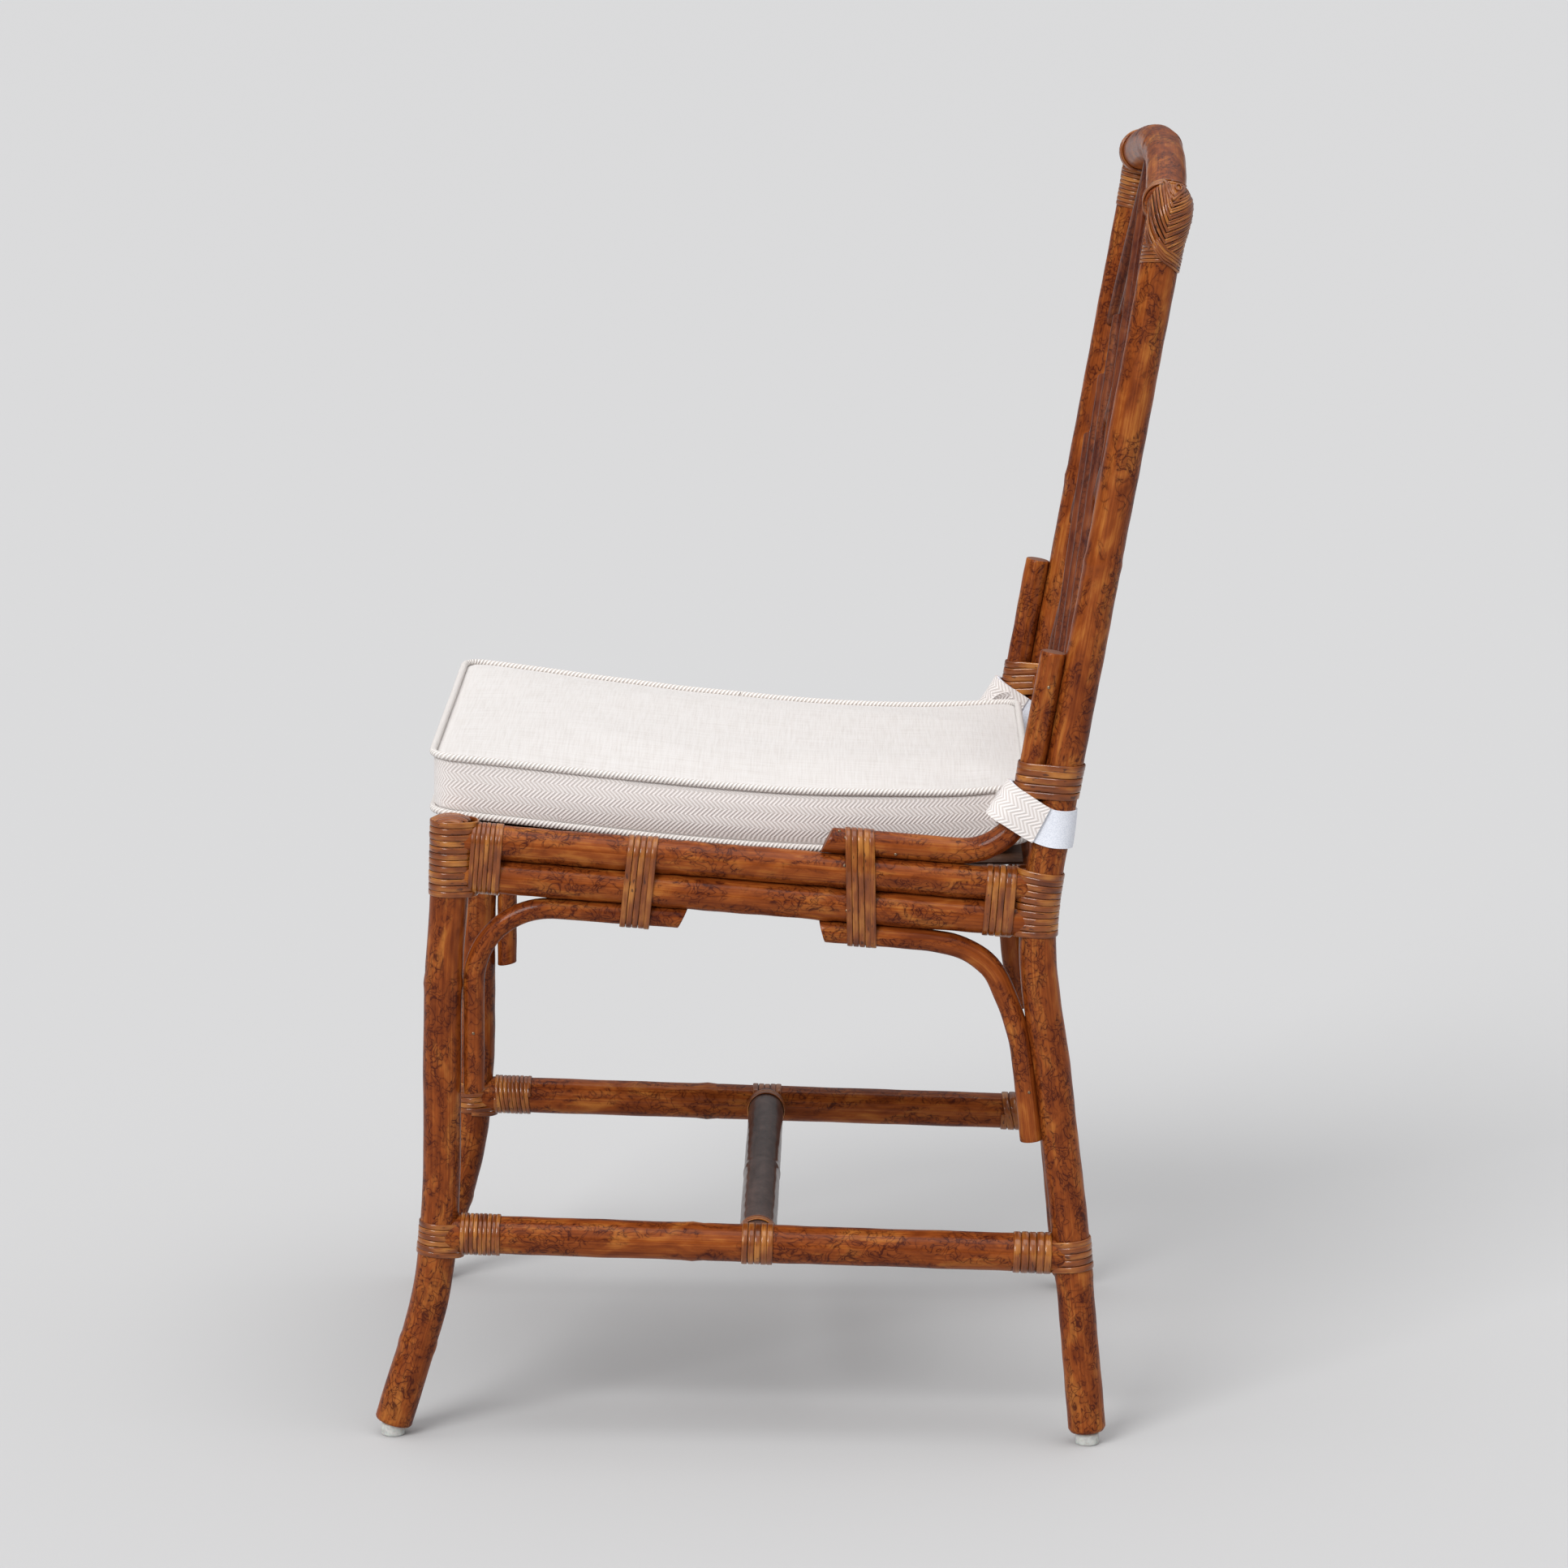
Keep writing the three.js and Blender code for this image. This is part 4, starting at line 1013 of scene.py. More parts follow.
def seat(obj: bpy.types.Object, body: str, *nodes: str) -> bpy.types.Object:
    """Set a piece on its body in place of CAD nodes, and report it.

    Args:
        obj: The piece.
        body: The body that it moves with.
        nodes: The CAD nodes that it stands for.

    Returns:
        The piece.
    """
    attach(obj, body)
    if nodes:
        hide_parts(*nodes)
    log.info("%s rides on %s, %d faces", obj.name, body, len(obj.data.polygons))
    return obj


def merged(name: str, parts: Iterable[bpy.types.Object]) -> bpy.types.Object:
    """Join objects into one piece.

    Args:
        name: The joined piece's name.
        parts: The objects.

    Returns:
        The joined piece.
    """
    parts = list(parts)
    clear_selection()
    for part in parts:
        part.select_set(True)
    bpy.context.view_layer.objects.active = parts[0]
    if len(parts) > 1:
        bpy.ops.object.join()
    obj = bpy.context.view_layer.objects.active
    obj.name = obj.data.name = name
    return obj


AMBER = LacqueredRattan()
CHESTNUT = LacqueredRattan("lacquered_rattan_chestnut", Tone.CHESTNUT, 0.8)
PLUM = LacqueredRattan("lacquered_rattan_plum", Tone.PLUM, 0.4, 0.4)
CUT = CutCane()
PEEL = CanePeel()
# The knob's core wears peel darkened almost to black: painted shade, so that the gaps between its strands
# read as shadow.
PAINTED_SHADE_PEEL = CanePeel("peel_painted_shade", "#1f0c06", "#37190c", "#4c2714")
STRAP_TWILL = HerringboneTwill("strap_twill", 6.0, 3.4)


@dataclass
class Pole:
    """One lacquered pole of the frame, named for the CAD node that it stands for."""

    node: str
    track: Track
    radius: float
    finish: LacqueredRattan = AMBER
    slot: Slot = Slot.RATTAN
    start: float = 0.0
    end: Optional[float] = None
    cuts: tuple[float, float] = (0.0, 0.0)
    swell: Sequence[float] = ()
    seed: int = 1
    sides: int = 32
    rim: float = 1.5

    def build(self) -> bpy.types.Object:
        """Make, dress and seat the pole.

        Returns:
            The pole.
        """
        rod = Rod(
            self.node + "_pole",
            self.track,
            self.radius,
            sides=self.sides,
            rim=self.rim,
            start=self.start,
            end=self.end,
            cuts=self.cuts,
            swell=self.swell,
            uneven=0.12,
            seed=self.seed,
        ).build()
        dress(rod, self.slot, self.finish, CUT)
        return seat(rod, "frame", self.node)


def post_y(z: float) -> float:
    """Return where the middle of the leaning posts is at a height."""
    return KNEE_Y + LEAN_SLOPE * (z - KNEE_Z)


def rail_z(y: float, upper: bool) -> float:
    """Return the height of a side rail's middle at a place along it."""
    return 412.1 + (RAIL_RISE if upper else 0.0) + RAIL_SLOPE * (y + 182.5)


def stretcher_z(y: float) -> float:
    """Return the height of a side stretcher's middle at a place along it."""
    return 149.0 + STRETCHER_SLOPE * (y + 159.1)


def seat_share(y: np.ndarray) -> np.ndarray:
    """Return how far back on the seat places are, from 0 at its front to 1 at its rear."""
    return (y - SEAT_FRONT) / SEAT_DEPTH


@dataclass
class SideFrame:
    """The poles of one side: legs, post, rails, stretcher and the bent braces."""

    side: str
    leg_radius: float = 13.6
    post_radius: float = 13.4
    rail_radius: float = 12.3
    stretcher_radius: float = 13.7
    front_brace_radius: float = 7.5
    rear_brace_radius: float = 8.0
    back_brace_radius: float = 9.2
    glide_radius: float = 8.5
    glide_height: float = 9.0
    leg_points: tuple = (
        (-273.6, 9.2),
        (-264, 41.5),
        (-254.8, 72),
        (-247, 102),
        (-241.5, 140),
        (-239, 180),
        (-238, 280),
        (-237, 340),
        (-233, 400),
        (-232, 454.5),
    )
    post_points: tuple = (
        (228.2, 9.2),
        (224.5, 46.7),
        (221.35, 77),
        (218.4, 107),
        (210.45, 179.6),
        (204.2, 227.7),
        (196.5, 287),
        (190.8, 320.6),
        (186.2, 360),
        (186.6, 395),
        (191.1, 430),
        (KNEE_Y, KNEE_Z),
    )

    def __post_init__(self) -> None:
        """Work out the side's place and its tracks."""
        self.x = SIDE_X * SIDES[self.side]
        self.seed = 1 if self.side == "left" else 50
        rows = [*self.post_points, *((post_y(z), z) for z in (560, 700, 820, 893))]
        self.leg = Track.bent([(self.x, y, z) for y, z in self.leg_points], X, smooth=True)
        self.post = Track.bent([(self.x, y, z) for y, z in rows], X, smooth=True)

    def build(self) -> None:
        """Make every pole of the side."""
        self._legs()
        self._rails()
        self._braces()
        self._glides()

    def _pole(self, node: str, track: Track, radius: float, **more: Any) -> bpy.types.Object:
        """Return one built pole of this side."""
        self.seed += 1
        return Pole(f"{node}_{self.side}", track, radius, seed=self.seed, **more).build()

    def _legs(self) -> None:
        """Make the front leg and the long rear pole."""
        self._pole("front_leg", self.leg, self.leg_radius, swell=(62, 330), rim=2.2)
        self._pole("rear_post", self.post, self.post_radius, swell=(118, 640), rim=4.0)

    def _rails(self) -> None:
        """Make the two stacked side rails and the stretcher."""
        for level, upper, node_at in (("lower", False, 265), ("upper", True, 150)):
            rail = Track.bent([(self.x, y, rail_z(y, upper)) for y in (-229, 184)], X)
            self._pole(f"side_rail_{level}", rail, self.rail_radius, swell=(node_at,))
        stretcher = Track.bent([(self.x, y, stretcher_z(y)) for y in STRETCHER_LINE], X)
        self._pole("side_stretcher", stretcher, self.stretcher_radius, swell=(180,))

    def _braces(self) -> None:
        """Make the three bent braces."""
        x = self.x
        front = Track.bent([(x, -215.3, 255.4), (x, -215.3, 393.8), (x, -66.6, 384.8)], X, {1: 54})
        self._pole("front_brace", front, self.front_brace_radius, cuts=(-0.2, 0.42), rim=0.8)
        rear = [
            (32.3, 376.7),
            (83, 373),
            (111.9, 370.3),
            (129.2, 366.7),
            (140.8, 361.3),
            (152.5, 351.8),
            (164, 330),
            (172.8, 305),
            (179.6, 262),
            (184, 225),
        ]
        track = Track.bent([(x, y, z) for y, z in rear], X, smooth=True)
        self._pole("rear_brace", track, self.rear_brace_radius, cuts=(-0.34, 0.0), rim=0.8)
        back = Track.bent([(x, 35, 442.7), (x, 169.0, 433.2), (x, post_y(581) - 22.7, 580.0)], X, {1: 45})
        self._pole("back_brace", back, self.back_brace_radius, cuts=(0.42, 0.0), rim=1.0)

    def _glides(self) -> None:
        """Make the two moulded feet, each a stub with an eased tread."""
        radius, height = self.glide_radius * MM, self.glide_height * MM
        for end, y in (("front", self.leg_points[0][0]), ("rear", self.post_points[0][0])):
            clear_selection()
            place = (self.x * MM, y * MM, self.glide_height / 2 * MM)
            bpy.ops.mesh.primitive_cylinder_add(vertices=36, radius=radius, depth=height, location=place)
            obj = bpy.context.object
            obj.name = obj.data.name = f"glide_{end}_{self.side}_foot"
            bpy.ops.object.transform_apply(location=True)
            modify(obj, "BEVEL", width=1.4 * MM, segments=4)
            bpy.ops.object.shade_smooth_by_angle(angle=math.radians(40))
            dress(obj, Slot.GLIDE, MilkyNylon())
            seat(obj, "frame", f"glide_{end}_{self.side}")


@dataclass
class SeatFrame:
    """The poles that join the two sides under the seat, and the core that is laid over them."""

    radius: float = 12.3
    cross_radius: float = 13.5
    rails: tuple = (("front", -232.5, 415.6), ("rear", 184.5, 386.1))
    panel_half: float = 191.5
    panel_margin: float = 13.0
    panel_thick: float = 1.6

    def build(self) -> None:
        """Make the end rails, the cross stretcher and the seat panel."""
        half = SIDE_X - 6
        seed = 20
        for end, y, low in self.rails:
            for level, rise in (("lower", 0.0), ("upper", RAIL_RISE)):
                seed += 1
                track = Track.bent([(-half, y, low + rise), (half, y, low + rise)], Y)
                Pole(f"{end}_rail_{level}", track, self.radius, swell=(150,), seed=seed).build()
        track = Track.bent([(x, *CROSS_AT) for x in (-half, half)], Y)
        Pole(
            "cross_stretcher", track, self.cross_radius, PLUM, Slot.DARK, swell=(215,), seed=seed + 1
        ).build()
        self._panel()

    @staticmethod
    def panel_at(y: np.ndarray) -> np.ndarray:
        """Return the height at which the cushion lies on the panel."""
        share = seat_share(y)
        return 456.6 - 29.1 * share - 44 * share * (1 - share)

    def _panel(self) -> None:
        """Make the seat panel as a sheet of close-laid core, ribbed along the chair's depth."""
        clear_selection()
        low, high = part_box("seat_panel")
        bpy.ops.mesh.primitive_grid_add(x_subdivisions=580, y_subdivisions=24, size=2.0)
        obj = bpy.context.object
        obj.name = obj.data.name = "seat_panel_core"
        places = coordinates(obj.data)
        x = places[:, 0] * self.panel_half
        depth = (high[1] - low[1]) / MM - 2 * self.panel_margin
        y = low[1] / MM + self.panel_margin + (places[:, 1] + 1) / 2 * depth
        top = self.panel_at(y) - self.panel_thick
        rib = np.abs(np.sin(math.pi * x / CoreWeave.rod))
        move_vertices(obj.data, np.stack([x, y, top - 2.0 + 1.5 * rib], axis=1) * MM)
        modify(obj, "SOLIDIFY", thickness=self.panel_thick * MM, offset=-1)
        obj.data.shade_smooth()
        dress(obj, Slot.CORE, CoreWeave())
        seat(obj, "frame", "seat_panel")


def on_back(x: float, rise: float, layer: float = 0.0) -> tuple[float, float, float]:
    """Find a place in the plane of the back.

    Args:
        x: Its place across the chair.
        rise: Its distance up the posts from the knee.
        layer: How far it is behind the plane.

    Returns:
        The place.
    """
    y = BACK_FOOT_Y + rise * math.sin(LEAN) + layer * math.cos(LEAN)
    return x, y, BACK_FOOT_Z + rise * math.cos(LEAN) - layer * math.sin(LEAN)


@dataclass
class ChairBack:
    """The crest rail, the lower rail and the lattice between the posts."""

    crest_radius: float = 14.25
    lower_radius: float = 10.0
    bar_radius: float = 4.6
    crest_end: float = 521.0
    crest_rise: float = 24.0
    crest_bow: float = 4.0
    crest_inset: float = 6.0
    lower_rise: float = 109.0
    slope: float = math.tan(math.radians(52.2))
    corner_at: float = 83.0
    long_at: float = 40.0
    joints: tuple = (("upper", 60.0), ("middle", 99.0), ("lower", 138.0))
    half: float = 199.0
    layer: float = -3.0
    lap: float = 2.0

    def crest_at(self, x: float) -> float:
        """Return the crest's rise up the posts at a place across it."""
        return self.crest_end + self.crest_rise * (1 - (x / SIDE_X) ** 2)

    def crest_track(self) -> Track:
        """Return the line of the arched crest rail."""
        places = []
        for x in np.linspace(-SIDE_X, SIDE_X, 41):
            share = 1 - (x / SIDE_X) ** 2
            places.append(on_back(x, self.crest_at(x), self.crest_bow * (share - 1)))
        return Track.bent(places, unit(np.array((0, math.cos(LEAN), -math.sin(LEAN)))))

    def build(self) -> None:
        """Make the rails and the ten lattice bars."""
        track = self.crest_track()
        Pole(
            "crest_rail",
            track,
            self.crest_radius,
            start=self.crest_inset,
            end=track.length - self.crest_inset,
            swell=(210,),
            seed=31,
            rim=2,
        ).build()
        ends = [on_back(x, self.lower_rise) for x in (-self.half, self.half)]
        Pole("lower_back_rail", Track.bent(ends, Y), self.lower_radius, swell=(260,), seed=32).build()
        for side, sign in SIDES.items():
            self._bars(side, sign)

    def _bars(self, side: str, sign: int) -> None:
        """Make the bars of one family, which fall towards one side.

        Args:
            side: The side that they fall to.
            sign: That side's sign.
        """
        layer = self.layer - self.lap * sign
        long_rise = self.crest_at(self.long_at)
        rows = [
            ("corner", self.corner_at, self.crest_at(self.corner_at), self.half - self.corner_at),
            ("long", -self.long_at, long_rise, self.half + self.long_at),
        ]
        for label, joint in self.joints:
            rise = long_rise - self.slope * (self.long_at + joint)
            rows.append((f"inner_{label}", -joint, rise, (rise - self.lower_rise) / self.slope))
        back = np.array((0, math.cos(LEAN), -math.sin(LEAN)))
        for i, (label, x, rise, run) in enumerate(rows):
            ends = [on_back(sign * x, rise, layer), on_back(sign * (x + run), rise - self.slope * run, layer)]
            Pole(
                f"lattice_{label}_{side}",
                Track.bent(ends, back),
                self.bar_radius,
                finish=CHESTNUT,
                start=0.0 if i < 2 else 3.5,
                seed=33 + i + (10 if sign > 0 else 0),
                sides=20,
                rim=0.5,
            ).build()


@dataclass
class Winding:
    """One unbroken flat strand of peel, wound round one pole or several that lie together.

    It crosses the faces that are seen square to the poles, and steps on to its next turn where it is hidden.

    Args:
        name: The strand's name.
        axis: The line that it advances along.
        members: The poles inside it, each with its radius.
        start: Where it starts along the axis.
        end: Where it ends.
        turns: How many strips are seen side by side.
        hidden: The direction of the face that isn't seen.
    """

    name: str
    axis: Track
    members: Sequence[tuple[Track, float]]
    start: float
    end: float
    turns: int
    hidden: np.ndarray
    fill: float = 0.94
    thick: float = 1.3
    slant: float = 0.0
    lift: float = 0.0
    seed: int = 1

    def build(self) -> bpy.types.Object:
        """Make the wound strand.

        Returns:
            The strand.
        """
        rod = Rod(
            self.name,
            self._track(),
            (self.end - self.start) / self.turns * self.fill / 2,
            self.thick / 2,
            sides=10,
            step=3.0,
            rim=0.0,
            square=0.6,
            seed=self.seed,
        ).build()
        number_faces(rod.data, 0)
        return rod

    def _track(self) -> Track:
        """Return the strand's line, turn after turn."""
        pitch = (self.end - self.start) / self.turns
        rng = np.random.default_rng(self.seed)
        per_turn = 64
        loops = [self._loop(self.start + (k + 0.5) * pitch, per_turn) for k in range(self.turns)]
        sway = rng.uniform(-0.1, 0.1, self.turns)
        lift = rng.uniform(-0.12, 0.22, self.turns)
        places, outs = [], []
        for k, (_, normal, _, _, _) in enumerate(loops):
            weight = np.maximum(normal @ self.hidden, 0) ** 2
            stepped = np.concatenate(([0.0], np.cumsum(weight)))[:-1] / weight.sum() - 0.5
            for j in range(per_turn):
                at = min(max(k + stepped[j], 0.0), self.turns - 1.0)
                low = int(at)
                high = min(low + 1, self.turns - 1)
                share = at - low
                mixed = [loops[low][n] * (1 - share) + loops[high][n] * share for n in (2, 4)]
                flat = loops[low][0][j] * (1 - share) + loops[high][0][j] * share
                out = unit(loops[low][1][j] * (1 - share) + loops[high][1][j] * share)
                shift = sway[low] * (1 - share) + sway[high] * share + self.slant * float(flat @ loops[k][3])
                rise = lift[low] * (1 - share) + lift[high] * share
                places.append(mixed[1] + flat + mixed[0] * shift + out * rise)
                outs.append(out)
        return Track(np.array(places), np.array(outs))

    def _loop(self, distance: float, count: int) -> tuple:
        """Find one turn's outline round the poles, at a distance along the axis.

        Args:
            distance: The distance.
            count: How many places the turn has.

        Returns:
            Its places from the axis, their outward directions, the axis's way, the slant's way, its middle.
        """
        place, out, side, along = (v[0] for v in self.axis.at(np.array([distance])))
        rows = []
        for track, radius in self.members:
            run = np.linspace(-20, track.length + 20, 400)
            where = track.at(run)[0]
            gap = (where - place) @ along
            k = int(np.argmin(np.abs(gap)))
            centre = where[k] - along * gap[k] - place
            u, v = float(centre @ out), float(centre @ side)
            size = radius + self.thick / 2 + self.lift
            for angle in np.linspace(0, 2 * math.pi, 90, endpoint=False):
                rows.append((u + size * math.cos(angle), v + size * math.sin(angle)))
        inward = np.array((self.hidden @ out, self.hidden @ side))
        spots = taut_line(rows, lambda ring: ring @ inward, np.linspace(0, 1, count, endpoint=False))
        ahead = np.roll(spots, -1, axis=0) - np.roll(spots, 1, axis=0)
        normal = unit(np.stack([ahead[:, 1], -ahead[:, 0]], axis=1))
        flat = spots[:, :1] * out + spots[:, 1:] * side
        outward = normal[:, :1] * out + normal[:, 1:] * side
        return flat, outward, along, out, place


@dataclass
class Bindings:
    """The peel bindings of one side, over the joints of its poles."""

    frame: SideFrame
    peel: CanePeel = PEEL

    def __post_init__(self) -> None:
        """Work out the tracks that the bindings follow."""
        self.sign = SIDES[self.frame.side]
        self.x = self.frame.x
        self.inner = X * -self.sign
        self.rails = []
        for upper in (False, True):
            rail = self._line([(y, rail_z(y, upper)) for y in RAIL_LINE])
            self.rails.append((rail, self.frame.rail_radius))
        self.middle = self._line([(y, rail_z(y, False) + RAIL_RISE / 2) for y in RAIL_LINE])
        self.stretcher = self._line([(y, stretcher_z(y)) for y in STRETCHER_LINE])
        self.stretcher_pole = [(self.stretcher, self.frame.stretcher_radius)]

    def _line(self, places: Iterable[tuple[float, float]]) -> Track:
        """Return a track of this side through places given by their depth and height."""
        return Track.bent([(self.x, y, z) for y, z in places], X)

    def _finish(self, node: str, parts: Sequence[bpy.types.Object]) -> bpy.types.Object:
        """Join a binding's strands, dress them and seat them on the frame."""
        obj = merged(f"{node}_{self.frame.side}_strand", parts)
        if not obj.data.materials:
            dress(obj, Slot.PEEL, self.peel)
        return seat(obj, "frame", f"{node}_{self.frame.side}")

    def build(self) -> None:
        """Make all nine bindings of the side."""
        self._front_corner()
        self._rail_joints()
        self._rear_corner()
        self._stretcher_ends()
        self._cross_joint()
        self._post_joint()
        Knob(self).build()

    def _front_corner(self) -> None:
        """Bind the front leg's top to the rails."""
        leg = self._line([(-237, 340), (-233, 400), (-232, 456)])
        members = [(leg, self.frame.leg_radius), (leg.shifted((0, 8, 0)), 11.3)]
        turns = [
            Winding("a", leg, members, 60, 115, 12, self.inner, seed=3),
            Winding("b", self.middle, self.rails, 13, 36.5, 7, self.inner, seed=4),
            *self._cap(leg),
        ]
        self._finish("front_corner_binding", turns_built(turns))

    def _rail_joints(self) -> None:
        """Bind the braces to the two side rails, first at the front and then at the rear."""
        brace = self._line([(-159.5, 389.8), (-66.6, 383.2)])
        members = [*self.rails, (brace, self.frame.front_brace_radius)]
        turns = [Winding("c", self.middle, members, 124, 146, 5, self.inner, slant=0.03, seed=5)]
        self._finish("front_rail_binding", turns_built(turns))
        below = self._line([(32.5, 376.7), (112, 370.3)])
        above = self._line([(35, 442.7), (125, 436.4)])
        members = [*self.rails, (below, self.frame.rear_brace_radius), (above, self.frame.back_brace_radius)]
        turns = [Winding("d", self.middle, members, 281, 303, 5, self.inner, slant=-0.1, seed=6)]
        self._finish("rear_rail_binding", turns_built(turns))

    def _rear_corner(self) -> None:
        """Bind the rear ends of the rails to the post."""
        post = self.frame.post
        low = post.reach(375)
        members = [(post, self.frame.post_radius), (post.shifted((0, -8, 0)), 11.0)]
        turns = [
            Winding("e", self.middle, self.rails, 379, 402, 5, self.inner, seed=7),
            Winding("f", post, members, low, low + 48, 10, self.inner, seed=8),
        ]
        self._finish("rear_corner_binding", turns_built(turns))

    def _stretcher_ends(self) -> None:
        """Bind the side stretcher to the leg and to the post."""
        leg, post = self.frame.leg, self.frame.post
        low = leg.reach(135.7)
        members = [(leg, self.frame.leg_radius), (leg.shifted((0, 8, 0)), 10.5)]
        turns = [
            Winding("g", leg, members, low, low + 25, 6, self.inner, seed=9),
            Winding("h", self.stretcher, self.stretcher_pole, 13, 42, 9, self.inner, seed=10),
        ]
        self._finish("front_stretcher_binding", turns_built(turns))
        low = post.reach(130)
        members = [(post, self.frame.post_radius), (post.shifted((0, -8, 0)), 10.5)]
        turns = [
            Winding("i", post, members, low, low + 24, 5, self.inner, seed=11),
            Winding("j", self.stretcher, self.stretcher_pole, 410, 438, 5, self.inner, seed=12),
        ]
        self._finish("rear_stretcher_binding", turns_built(turns))

    def _cross_joint(self) -> None:
        """Bind the cross stretcher to the side stretcher."""
        cross = Track.bent([(x, *CROSS_AT) for x in (self.x, self.x - self.sign * 60)], Y)
        turns = [
            Winding("k", self.stretcher, self.stretcher_pole, 215, 238, 5, self.inner, seed=13),
            Winding("l", cross, [(cross, SeatFrame.cross_radius)], 14, 26, 3, -Z, seed=14),
        ]
        self._finish("cross_stretcher_binding", turns_built(turns))

    def _post_joint(self) -> None:
        """Bind the back brace to the post."""
        post = self.frame.post
        up = self._line([(post_y(z) - 22.7, z) for z in (460, 581)])
        low = post.reach(474)
        members = [(post, self.frame.post_radius), (up, self.frame.back_brace_radius)]
        turns = [Winding("m", post, members, low, low + 27, 5, self.inner, slant=-0.12, seed=15)]
        self._finish("post_binding", turns_built(turns))

    def _cap(self, leg: Track) -> list["Strand"]:
        """Return the strands that lie over the rounded top of the front leg, front to back.

        Args:
            leg: The leg's line.

        Returns:
            The strands.
        """
        rows = []
        reach = self.frame.leg_radius + 0.7
        middle = leg.places[-1][1]
        for i in range(6):
            shift = (i - 2.5) * 4.5
            half = math.sqrt(max(reach**2 - shift**2, 40.0))
            places, outs = [], []
            for share in np.linspace(-1, 1, 21):
                y = half * share
                high = math.sqrt(max(1 - (y**2 + shift**2) / (reach + 1.2) ** 2, 0.0))
                places.append((self.x + shift, middle + y, 451.0 + 6.6 * high))
                outs.append((shift / reach * 0.8, y / reach, 0.35 + high))
            rows.append(Strand("cap", np.array(places), np.array(outs), 4.4, seed=30 + i))
        return rows


@dataclass
class Strand:
    """A short strip of peel laid on given places."""

    name: str
    places: np.ndarray
    outward: np.ndarray
    width: float = 4.7
    thick: float = 1.3
    seed: int = 1

    def build(self) -> bpy.types.Object:
        """Make the strip.

        Returns:
            The strip.
        """
        rod = Rod(
            self.name,
            Track(self.places, unit(self.outward)),
            self.width / 2,
            self.thick / 2,
            sides=10,
            step=2.0,
            rim=0.0,
            square=0.7,
            seed=self.seed,
        ).build()
        number_faces(rod.data, 0)
        return rod


def turns_built(parts: Iterable[Any]) -> list[bpy.types.Object]:
    """Return the built objects of windings and strands."""
    return [part.build() for part in parts]


